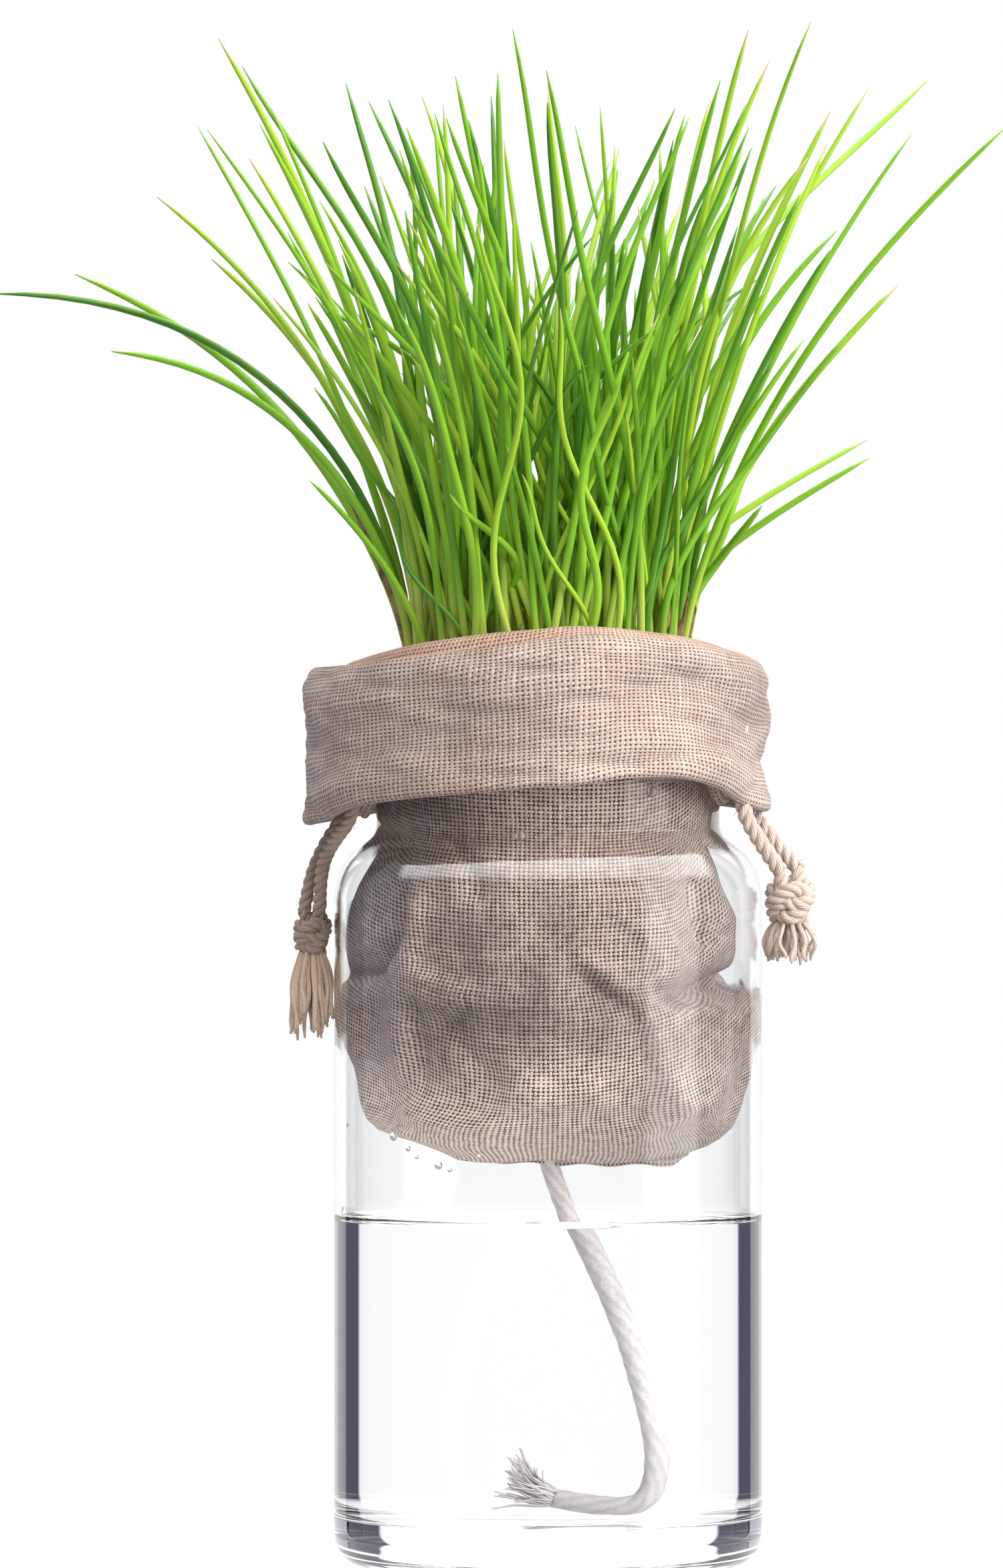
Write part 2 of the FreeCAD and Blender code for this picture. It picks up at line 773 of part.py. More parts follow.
for drawstring_side in ("left", "right"):
    nodes.update(make_drawstring(drawstring_side))
for clump in make_leaves():
    nodes[clump.Label] = clump
nodes["withered_leaves"] = make_husks()

doc.recompute()
for item in doc.Objects:
    if "Invalid" in item.State or "Error" in item.State:
        raise RuntimeError(f"{item.Name} is {item.State}")
for name, item in nodes.items():
    item.Label = name
    if item.Shape.isNull() or not item.Shape.isValid():
        raise RuntimeError(f"{name} has no valid shape")

os.makedirs("parts", exist_ok=True)
for name, item in nodes.items():
    item.Shape.exportStep(f"parts/{name}.step")
    print(f"{name}: {len(item.Shape.Solids)} solids, {item.Shape.Volume:.0f} mm3")
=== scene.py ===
import logging
import math
import random
from collections.abc import Callable, Sequence
from dataclasses import astuple, dataclass
from enum import Enum

import bpy
import numpy as np
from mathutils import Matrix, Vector


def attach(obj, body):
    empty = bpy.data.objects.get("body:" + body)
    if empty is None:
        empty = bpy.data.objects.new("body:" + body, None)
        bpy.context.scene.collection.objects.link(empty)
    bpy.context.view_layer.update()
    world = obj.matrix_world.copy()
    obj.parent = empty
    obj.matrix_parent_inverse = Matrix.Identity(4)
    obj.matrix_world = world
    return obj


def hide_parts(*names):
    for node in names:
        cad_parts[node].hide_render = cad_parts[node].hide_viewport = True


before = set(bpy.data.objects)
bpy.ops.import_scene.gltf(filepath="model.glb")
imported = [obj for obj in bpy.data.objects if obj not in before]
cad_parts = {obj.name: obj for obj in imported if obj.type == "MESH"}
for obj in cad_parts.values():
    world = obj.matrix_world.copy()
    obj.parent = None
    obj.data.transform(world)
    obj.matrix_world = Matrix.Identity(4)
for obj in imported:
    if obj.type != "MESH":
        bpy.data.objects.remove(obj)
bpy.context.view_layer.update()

MM = 0.001
FULL_TURN = 2 * math.pi

Grid = np.ndarray
Material = bpy.types.Material
Pair = tuple[float, float]
Triple = tuple[float, float, float]
Table = tuple[tuple[float, ...], ...]
WHITE = (1.0, 1.0, 1.0)

# Routes of the free cords, in millimetres, from the held end to the loose one.
ROUTES = {
    "wick_rope": (
        (-1.6, 1.5, 146.0), (-0.6, 0.6, 128.0), (-1.4, 1.2, 110.0), (-0.8, 0.6, 92.5),
        (4.2, 1.6, 79.0), (9.0, 2.6, 66.0), (13.2, 3.0, 52.5), (16.4, 2.6, 38.5), (18.9, 1.0, 24.5),
        (17.0, -1.4, 14.2), (8.0, -2.6, 14.4), (1.0, -2.4, 16.2),
    ),
    "left_strand_back": (
        (-45.9, 2.9, 188.6), (-45.7, 3.1, 182.0), (-45.9, 2.9, 175.5), (-45.8, 3.0, 168.0),
        (-50.2, 3.2, 161.5), (-53.3, 3.0, 154.5), (-54.8, 2.6, 146.4),
    ),
    "left_strand_front": (
        (-42.4, -17.8, 188.4), (-42.5, -17.6, 182.0), (-42.3, -17.8, 175.5), (-43.4, -17.9, 167.4),
        (-48.3, -11.1, 161.8), (-51.1, -4.4, 155.4), (-51.2, -0.6, 146.9),
    ),
    "right_strand_front": (
        (42.7, -16.1, 188.8), (42.9, -16.0, 182.0), (42.7, -16.2, 175.5), (43.4, -16.2, 168.2),
        (47.4, -14.8, 161.6), (51.7, -12.0, 155.6),
    ),
    "right_strand_back": (
        (45.8, -2.1, 188.5), (45.6, -2.2, 182.0), (45.8, -2.0, 175.5), (45.7, -2.1, 167.8),
        (50.7, -3.6, 162.0), (56.0, -6.4, 156.0),
    ),
}

# Rings of leaves, from the middle out: share of the bed's radius, and leaves in the ring.
RING_SHARES = [(0.23, 8), (0.43, 16), (0.62, 24), (0.81, 32), (1.0, 48)]

# Outer leaves that give the clump its outline, by place in the outer ring: shares of the reach
# that the tip goes outward and upward, and the droop at the tip.
LEADING_SHARES = {
    0: (0.32, 0.63, 0.0), 1: (0.28, 0.93, 0.0), 2: (0.23, 0.9, 0.0), 3: (0.15, 0.4, 0.0),
    19: (0.21, 0.96, 0.0), 20: (0.36, 0.85, 0.0), 21: (0.37, 0.69, 0.1), 22: (0.42, 0.78, 0.1),
    23: (0.53, 0.66, 0.15), 24: (0.63, 0.62, 0.34), 25: (0.45, 0.53, 0.3), 26: (0.3, 0.99, 0.0),
    27: (0.25, 0.86, 0.0), 28: (0.2, 0.33, 0.0), 44: (0.22, 0.75, 0.0), 45: (0.26, 0.67, 0.0),
    46: (0.525, 0.85, 0.0), 47: (0.12, 0.3, 0.0),
}

log = logging.getLogger("jar_planter")


class Body(Enum):
    """Bodies that pieces ride on."""

    JAR = "jar"
    BAG = "bag"
    LEFT = "left_drawstring"
    RIGHT = "right_drawstring"


class Slot(Enum):
    """Material slots of the record."""

    GLASS = "jar_glass"
    WATER = "water"
    LINEN = "linen"
    COIR = "coir"
    WICK = "wick_cotton"
    GREY_CORD = "grey_cord"
    CREAM_CORD = "cream_cord"
    LEAF = "chive_leaf"
    HUSK = "husk"


class FoldKind(Enum):
    """How a fold lifts the cloth beside its line."""

    RIDGE = "ridge"
    CREASE = "crease"
    STEP = "step"


def smooth(value: Grid, low: float, high: float) -> Grid:
    """Smooth step from 0 at low to 1 at high: three squares less two cubes of the share between."""
    share = np.clip((value - low) / (high - low), 0.0, 1.0)
    return share * share * (3.0 - 2.0 * share)


def waves(points: Grid, length: float, seed: int, count: int = 12) -> Grid:
    """Smooth random field: a sum of sines of about one wavelength in random directions.

    Args:
        points: Places, with three coordinates last.
        length: Mean wavelength in metres.
        seed: Seed of the directions and phases.
        count: Number of sines.

    Returns:
        Values of about -1 to 1 at the places.
    """
    chance = np.random.default_rng(seed)
    ways = chance.normal(size=(count, 3))
    ways /= np.linalg.norm(ways, axis=1, keepdims=True)
    ways *= (FULL_TURN / (length * chance.uniform(0.7, 1.4, count)))[:, None]
    phases = chance.uniform(0.0, FULL_TURN, count)
    return np.sin(points @ ways.T + phases).sum(-1) / math.sqrt(count)


def unit(vectors: Grid) -> Grid:
    """Vectors scaled to length 1."""
    return vectors / np.maximum(np.linalg.norm(vectors, axis=-1, keepdims=True), 1e-12)


def circle(count: int) -> Grid:
    """Even bearings round a full turn, in radians."""
    return np.linspace(0.0, FULL_TURN, count, endpoint=False)


def placed(across: Grid, angle: Grid, up: Grid) -> Grid:
    """Places at distances from the axis, bearings and heights."""
    return np.stack([across * np.cos(angle), across * np.sin(angle), up + 0 * angle], -1)


def paired(one: Grid, other: Grid) -> Grid:
    """Map of two values, each spread to the other's shape."""
    return np.stack(np.broadcast_arrays(one, other), -1)


def lengths(grid: Grid, axis: int = 0) -> Grid:
    """Lengths along one axis of a grid of places, from 0 at the first."""
    return np.insert(np.linalg.norm(np.diff(grid, axis=axis), axis=-1).cumsum(axis), 0, 0.0, axis)


@dataclass
class Skin:
    """A stack of like surfaces, each a grid of points.

    Columns run round a surface and rows along it, so that columns crossed with rows face out.

    Attributes:
        points: Places, (surfaces, rows, columns, 3), in metres.
        closed: Whether the columns run all the way round.
        looped: Whether the rows do too.
        capped: Whether the first and last rings are closed by a face each.
        uv: Own map, (surfaces, rows, columns, 2), with one more row or column where they close;
            without it the map is in metres along the surface.
        zones: Material of each strip between two rows.
        tint: One value for each surface, kept as an attribute.
    """

    points: Grid
    closed: bool = True
    looped: bool = False
    capped: bool = True
    uv: Grid | None = None
    zones: Grid | None = None
    tint: Grid | None = None

    def wrapped(self, grid: Grid) -> Grid:
        """The grid with its first column and row repeated at the end where they close.

        Args:
            grid: Values at the points, (surfaces, rows, columns, values).

        Returns:
            The grid, one larger where it closes.
        """
        if self.closed:
            grid = np.concatenate([grid, grid[:, :, :1]], 2)
        if self.looped:
            grid = np.concatenate([grid, grid[:, :1]], 1)
        return grid

    def map(self) -> Grid:
        """The UV map: its own, or the mean lengths along the columns and the rows in metres.

        Returns:
            The map, (surfaces, rows, columns, 2), one larger where the surface closes.
        """
        if self.uv is not None:
            return self.uv
        ring = self.wrapped(self.points)
        across = np.linalg.norm(np.diff(ring, axis=2), axis=-1).mean(1).cumsum(-1)
        along = np.linalg.norm(np.diff(ring, axis=1), axis=-1).mean(2).cumsum(-1)
        across = np.pad(across, ((0, 0), (1, 0)))
        along = np.pad(along, ((0, 0), (1, 0)))
        shape = ring.shape[:3]
        across = np.broadcast_to(across[:, None, :], shape)
        along = np.broadcast_to(along[:, :, None], shape)
        return np.stack([across, along], -1)


def cell_corners(grid: Grid) -> Grid:
    """The four corners of each cell of a stack of grids, in order round the cell."""
    cells = [grid[:, :-1, :-1], grid[:, :-1, 1:], grid[:, 1:, 1:], grid[:, 1:, :-1]]
    return np.stack(cells, 3)


def make_mesh(name: str, skins: Sequence[Skin]) -> bpy.types.Mesh:
    """Mesh of one or more skins, with a UV map and a tint attribute.

    Args:
        name: Name of the mesh.
        skins: Stacks of surfaces.

    Returns:
        The mesh, smooth shaded.
    """
    places, loops, sizes, maps, zones, tints = [], [], [], [], [], []
    first = 0
    for skin in skins:
        surfaces, rows, columns = skin.points.shape[:3]
        index = first + np.arange(surfaces * rows * columns).reshape(surfaces, rows, columns)
        first += index.size
        cells = cell_corners(skin.wrapped(index[..., None]))[..., 0]
        uv = skin.map()
        strip = np.zeros(cells.shape[1], int) if skin.zones is None else skin.zones
        places.append(skin.points.reshape(-1, 3))
        loops.append(cells.reshape(-1))
        sizes.append(np.full(cells[..., 0].size, 4))
        maps.append(cell_corners(uv).reshape(-1, 2))
        zones.append(np.broadcast_to(strip[None, :, None], cells.shape[:3]).reshape(-1))
        if skin.capped and not skin.looped:
            ends = np.stack([index[:, 0, ::-1], index[:, -1, :]], 1)
            caps = np.stack([uv[:, 0, :columns][:, ::-1], uv[:, -1, :columns]], 1)
            loops.append(ends.reshape(-1))
            sizes.append(np.full(2 * surfaces, columns))
            maps.append(caps.reshape(-1, 2))
            zones.append(np.tile([strip[0], strip[-1]], surfaces))
        tint = np.zeros(surfaces) if skin.tint is None else skin.tint
        tints.append(np.repeat(tint, rows * columns))
    corners, counts = np.concatenate(loops), np.concatenate(sizes)
    mesh = bpy.data.meshes.new(name)
    mesh.vertices.add(first)
    mesh.vertices.foreach_set("co", np.concatenate(places).astype(np.float32).ravel())
    mesh.loops.add(corners.size)
    mesh.loops.foreach_set("vertex_index", corners.astype(np.int32))
    mesh.polygons.add(counts.size)
    starts = np.concatenate([[0], counts.cumsum()[:-1]])
    mesh.polygons.foreach_set("loop_start", starts.astype(np.int32))
    mesh.polygons.foreach_set("material_index", np.concatenate(zones).astype(np.int32))
    mesh.polygons.foreach_set("use_smooth", np.ones(counts.size, bool))
    mesh.update(calc_edges=True)
    layer = mesh.uv_layers.new(name="UVMap")
    layer.uv.foreach_set("vector", np.concatenate(maps).astype(np.float32).ravel())
    shade = mesh.attributes.new("tint", "FLOAT", "POINT")
    shade.data.foreach_set("value", np.concatenate(tints).astype(np.float32))
    mesh.validate()
    return mesh


def make_piece(
    name: str, skins: Sequence[Skin], finishes: Sequence[Material], body: Body,
    replaced: Sequence[str] = (),
) -> bpy.types.Object:
    """Visible piece that rides on a body and may stand for nodes of the frame.

    Args:
        name: Name of the piece.
        skins: Stacks of surfaces.
        finishes: Materials, in the order of the skins' zones.
        body: Body that carries it.
        replaced: Nodes that it stands for.

    Returns:
        The piece.
    """
    mesh = make_mesh(name, skins)
    for finish in finishes:
        mesh.materials.append(finish)
    piece = bpy.data.objects.new(name, mesh)
    bpy.context.scene.collection.objects.link(piece)
    if replaced:
        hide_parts(*replaced)
    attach(piece, body.value)
    log.info("%s: %d faces on %s", name, len(mesh.polygons), body.value)
    return piece


def rounded_line(corners: Sequence[Triple], steps: int = 8) -> Grid:
    """Outline with rounded corners: each corner's arc turns from one side to the next.

    Args:
        corners: Distance from the axis, height and radius of each corner.
        steps: Points of each arc.

    Returns:
        Points of the outline, (points, 2).
    """
    places = np.array([corner[:2] for corner in corners])
    line = [places[0]]
    for before, (_, _, radius), corner, after in zip(places, corners[1:-1], places[1:], places[2:]):
        into, out = unit(corner - before), unit(after - corner)
        half_turn = math.acos(min(1.0, max(-1.0, float(into @ out)))) / 2
        if radius == 0.0 or half_turn < 1e-3:
            line.append(corner)
            continue
        centre = corner + unit(out - into) * radius / math.cos(half_turn)
        start = corner - into * radius * math.tan(half_turn) - centre
        stop = corner + out * radius * math.tan(half_turn) - centre
        share = np.linspace(0.0, 1.0, steps)[:, None]
        turned = np.sin((1 - share) * 2 * half_turn) * start + np.sin(share * 2 * half_turn) * stop
        line.extend(centre + turned / math.sin(2 * half_turn))
    line.append(places[-1])
    return np.array(line)


def lathe(outline: Grid, columns: int) -> Grid:
    """Surface of revolution: a ring at each (distance from the axis, height) of the outline."""
    return placed(outline[:, 0, None], circle(columns), outline[:, 1, None])[None]


def frames(paths: Grid, reference: Sequence[float]) -> tuple[Grid, Grid]:
    """Two directions square to each path: the reference crossed with its heading, and the third.

    Args:
        paths: Places along the paths, (..., rows, 3).
        reference: Direction that no path runs along.

    Returns:
        The sideways and the upward directions, shaped as the paths.
    """
    heading = unit(np.gradient(paths, axis=-2))
    sideways = unit(np.cross(np.asarray(reference, float), heading))
    return sideways, np.cross(heading, sideways)


def tubes(
    paths: Grid, radius: Grid | float, sides: int, reference: Sequence[float] = (0.0, 1.0, 0.0),
    squeeze: float = 1.0,
) -> Grid:
    """Round or flattened tubes: rings square to each path.

    Args:
        paths: Places along the paths, (tubes, rows, 3).
        radius: Radius, which broadcasts to (tubes, rows).
        sides: Points of each ring.
        reference: Direction that no path runs along.
        squeeze: Height of a ring over its width.

    Returns:
        Grids of points, (tubes, rows, sides, 3).
    """
    sideways, upward = frames(paths, reference)
    angle = circle(sides)[:, None]
    ring = np.cos(angle) * sideways[..., None, :] + squeeze * np.sin(angle) * upward[..., None, :]
    size = np.broadcast_to(radius, paths.shape[:2])
    return paths[..., None, :] + size[..., None, None] * ring


def spread_points(line: Grid, count: int) -> Grid:
    """Points at even lengths along a line.

    Args:
        line: Places along the line, (points, 3).
        count: Number of points wanted.

    Returns:
        The points, (count, 3).
    """
    length = lengths(line)
    even = np.linspace(0.0, length[-1], count)
    return np.stack([np.interp(even, length, line[:, axis]) for axis in range(3)], -1)


def route_points(name: str) -> Grid:
    """A route's points in metres, to a micrometre."""
    return np.round(np.array(ROUTES[name]) * MM, 6)


def route_line(name: str, count: int) -> Grid:
    """Points along the smooth curve that a route's points steer.

    Args:
        name: Name of the route.
        count: Number of points.

    Returns:
        Points at even lengths, (count, 3).
    """
    curve = bpy.data.curves.new(name + "_route", "CURVE")
    curve.dimensions = "3D"
    curve.resolution_u = 24
    places = route_points(name)
    spline = curve.splines.new("NURBS")
    spline.points.add(len(places) - 1)
    for point, place in zip(spline.points, places):
        point.co = (*place, 1.0)
    spline.order_u = 3
    spline.use_endpoint_u = True
    holder = bpy.data.objects.new(name + "_route", curve)
    bpy.context.scene.collection.objects.link(holder)
    mesh = bpy.data.meshes.new_from_object(holder)
    line = np.empty(len(mesh.vertices) * 3, np.float32)
    mesh.vertices.foreach_get("co", line)
    bpy.data.objects.remove(holder)
    bpy.data.meshes.remove(mesh)
    bpy.data.curves.remove(curve)
    return spread_points(line.reshape(-1, 3).astype(float), count)


def cloth_map(points: Grid) -> Grid:
    """Map in metres of a cloth that closes round its columns, measured from its middle column.

    Threads keep their spacing on every ring, so the map only meets itself where it closes.

    Args:
        points: Grid of the cloth, (rows, columns, 3), in metres.

    Returns:
        Map, (1, rows, columns + 1, 2).
    """
    ring = np.concatenate([points, points[:, :1]], 1)
    across, along = lengths(ring, 1), lengths(ring)
    across -= across[:, len(points[0]) // 2, None]
    for _ in range(300):
        across[1:-1] = (across[:-2] + 2 * across[1:-1] + across[2:]) / 4
        along[:, 1:-1] = (along[:, :-2] + 2 * along[:, 1:-1] + along[:, 2:]) / 4
    return np.stack([across, along], -1)[None]


def yarn_map(lines: Grid, sides: int) -> Grid:
    """Map of yarns: the share of a turn round each, and the length along it in metres."""
    return paired(np.linspace(0.0, 1.0, sides + 1), lengths(lines, 1)[..., None])


def line_length(line: Grid) -> float:
    """Length of a line through points."""
    return float(np.linalg.norm(np.diff(line, axis=0), axis=1).sum())


def operator(operation: str, turned: bool = False) -> Callable[..., "Value"]:
    """Method that puts a Math node behind a value, with the other number first if turned."""

    def work(value: "Value", other: "Value | float" = 0.0) -> "Value":
        """Result of the value and the other number."""
        pair = (other, value) if turned else (value, other)
        return value.board.math(operation, *pair)

    return work


@dataclass(frozen=True)
class Value:
    """Output of a node, whose sums, products and powers are further nodes of its board.

    Attributes:
        board: The board.
        socket: The output's socket.
    """

    board: "Board"
    socket: bpy.types.NodeSocket

    __add__ = operator("ADD")
    __sub__ = operator("SUBTRACT")
    __rsub__ = operator("SUBTRACT", turned=True)
    __mul__ = operator("MULTIPLY")
    __truediv__ = operator("DIVIDE")
    __pow__ = operator("POWER")
    __abs__ = operator("ABSOLUTE")


class Board:
    """Node tree of a material or of the world, with short calls for the nodes that they share."""

    def __init__(self, owner: Material | bpy.types.World) -> None:
        """Empties the owner's tree.

        Args:
            owner: Material or world that the tree belongs to.
        """
        owner.use_nodes = True
        self.owner = owner
        self.tree = owner.node_tree
        self.tree.nodes.clear()

    def add(
        self, kind: str, inputs: dict | None = None, output: int | str = 0, **settings: object
    ) -> Value:
        """Adds a node.

        Args:
            kind: Type of the node, without its ShaderNode prefix.
            inputs: Numbers, colours or values by the input's name or number.
            output: Name or number of the output that is wanted.
            settings: Properties of the node.

        Returns:
            The node's output.
        """
        node = self.tree.nodes.new("ShaderNode" + kind)
        for key, value in settings.items():
            setattr(node, key, value)
        for key, value in (inputs or {}).items():
            if isinstance(value, Value):
                self.tree.links.new(value.socket, node.inputs[key])
            else:
                colour = isinstance(value, tuple)
                node.inputs[key].default_value = (*value, 1.0) if colour else value
        return Value(self, node.outputs[output])

    def math(self, operation: str, *values: Value | float) -> Value:
        """Result of a Math node."""
        return self.add("Math", dict(enumerate(values)), operation=operation)

    def step(self, value: Value, low: float, high: float) -> Value:
        """Smooth step of a value, from 0 at low to 1 at high."""
        sockets = {"Value": value, "From Min": low, "From Max": high}
        return self.add("MapRange", sockets, interpolation_type="SMOOTHSTEP")

    def band(self, value: Value, low: float, high: float, edge: float) -> Value:
        """1 for an angle between two others, with soft edges, and 0 elsewhere.

        Args:
            value: The angle in radians.
            low: Lower bound in degrees.
            high: Upper bound in degrees.
            edge: Width of each soft edge in degrees.

        Returns:
            The share, from 0 to 1.
        """
        low, high, edge = math.radians(low), math.radians(high), math.radians(edge)
        off = abs(value - (high + low) / 2)
        share = ((high - low) / 2 + edge / 2 - off) / edge
        return self.math("MINIMUM", self.math("MAXIMUM", share, 0.0), 1.0)

    def between(self, share: Value, one: Value, other: Value) -> Value:
        """Number between two numbers."""
        return self.add("Mix", {0: share, 2: one, 3: other})

    def mix(self, share: Value | float, one: object, other: object, blend: str = "MIX") -> Value:
        """Colour between two colours, or the first blended with the second."""
        sockets = {0: share, 6: one, 7: other}
        return self.add("Mix", sockets, 2, data_type="RGBA", blend_type=blend)

    def multiply_tone(self, colour: Value, share: Value, tone: Triple) -> Value:
        """Colour multiplied by a tone, by a share from 0 to 1."""
        return self.mix(share, colour, tone, "MULTIPLY")

    def noise(self, place: Value, scale: float, detail: float = 2.0) -> Value:
        """Value of a noise field at a place."""
        return self.add("TexNoise", {"Vector": place, "Scale": scale, "Detail": detail})

    def chance(self, number: Value) -> Value:
        """Random value of a number."""
        return self.add("TexWhiteNoise", {"W": number}, noise_dimensions="1D")

    def uv(self) -> Value:
        """Place on the piece's own map."""
        return self.add("UVMap", uv_map="UVMap")

    def place(self) -> Value:
        """Place on the piece in its own coordinates."""
        return self.add("TexCoord", output="Object")

    def tint(self) -> Value:
        """The piece's tint attribute."""
        return self.add("Attribute", output="Fac", attribute_name="tint")

    def ray(self, kind: str) -> Value:
        """1 for rays of a kind, and 0 for the others."""
        return self.add("LightPath", output=f"Is {kind} Ray")

    def parts(self, vector: Value) -> list[Value]:
        """The three coordinates of a vector."""
        node = self.add("SeparateXYZ", {0: vector}).socket.node
        return [Value(self, socket) for socket in node.outputs]

    def vector(self, x: Value, y: Value, z: float = 0.0) -> Value:
        """Vector of three coordinates."""
        return self.add("CombineXYZ", {0: x, 1: y, 2: z})

    def surface(self, colour: Value | Triple, rough: float, **more: object) -> Value:
        """Principled shader, whose further inputs are named with underscores for spaces."""
        sockets = {name.replace("_", " "): value for name, value in more.items()}
        return self.add("BsdfPrincipled", {"Base Color": colour, "Roughness": rough} | sockets)

    def bump(self, height: Value, distance: float, strength: float = 1.0) -> Value:
        """Normal that a height field gives."""
        return self.add("Bump", {"Height": height, "Distance": distance, "Strength": strength})

    def pane(self, glass: Value, tone: Triple = WHITE) -> Value:
        """Glass that the lamps' light and soft light pass straight through.

        Args:
            glass: Shader that the eye sees.
            tone: Tint of the light that passes.

        Returns:
            The shader.
        """
        passing = self.math("MAXIMUM", self.ray("Shadow"), self.ray("Diffuse"))
        clear = self.add("BsdfTransparent", {"Color": tone})
        return self.add("MixShader", {0: passing, 1: glass, 2: clear})

    def finish(self, shader: Value) -> Material | bpy.types.World:
        """Joins a shader to the output.

        Args:
            shader: The shader of the surface.

        Returns:
            The material or the world.
        """
        kind = "World" if isinstance(self.owner, bpy.types.World) else "Material"
        output = self.tree.nodes.new("ShaderNodeOutput" + kind)
        self.tree.links.new(shader.socket, output.inputs["Surface"])
        return self.owner


@dataclass(frozen=True)
class Finish:
    """A finish of the planter, and as it stands the clear one of the water against the glass.

    Attributes:
        name: Name of its material.
    """

    name: str

    def shader(self, board: Board) -> Value:
        """Passes all light straight through."""
        return board.add("BsdfTransparent")

    def build(self) -> Material:
        """The material that carries the finish's shader."""
        board = Board(bpy.data.materials.new(self.name))
        return board.finish(self.shader(board))


@dataclass(frozen=True)
class ClearGlass(Finish):
    """Clear glass or water, which lets the lamps' light straight through.

    Attributes:
        index: Refractive index against what lies outside the surface.
        tone: Tint of the light that passes.
    """

    index: float
    tone: Triple = WHITE

    def shader(self, board: Board) -> Value:
        """Refracts what the eye sees, and nothing else."""
        glass = board.add("BsdfGlass", {"Color": self.tone, "Roughness": 0.0, "IOR": self.index})
        return board.pane(glass, self.tone)


@dataclass(frozen=True)
class TouchedGlass(Finish):
    """Inside of the dry glass, where damp cloth lies against it in some places.

    Attributes:
        dry: Refractive index against air.
        damp: Refractive index against the wet cloth.
        neck: Height above which the cloth touches the neck.
        belly: Heights between which it touches the wall at both sides.
        aside: Distances from the middle between which the touch begins there.
        edge: Half width of a touch's soft edge.
        wander: Height over which the edges wander.
    """

    dry: float = 1.5
    damp: float = 1.5 / 1.333
    neck: float = 0.1605
    belly: Pair = (0.1165, 0.1285)
    aside: Pair = (0.034, 0.038)
    edge: float = 0.0015
    wander: float = 0.014

    def shader(self, board: Board) -> Value:
        """Mixes the two indices by the height and the place across, with uneven edges."""
        place = board.place()
        x, _, z = board.parts(place)
        height = z + (board.noise(place, 120.0) - 0.5) * self.wander
        low, high = self.belly
        belly = board.step(height, low - self.edge, low + self.edge)
        belly = belly * board.step(height, high + self.edge, high - self.edge)
        belly = belly * board.step(abs(x), *self.aside)
        neck = board.step(height, self.neck - self.edge, self.neck + self.edge)
        touch = board.math("MAXIMUM", belly, neck)
        clean = board.add("BsdfGlass", {"Roughness": 0.0, "IOR": self.dry})
        wet = board.add("BsdfGlass", {"Roughness": 0.0, "IOR": self.damp})
        return board.pane(board.add("MixShader", {0: touch, 1: clean, 2: wet}))


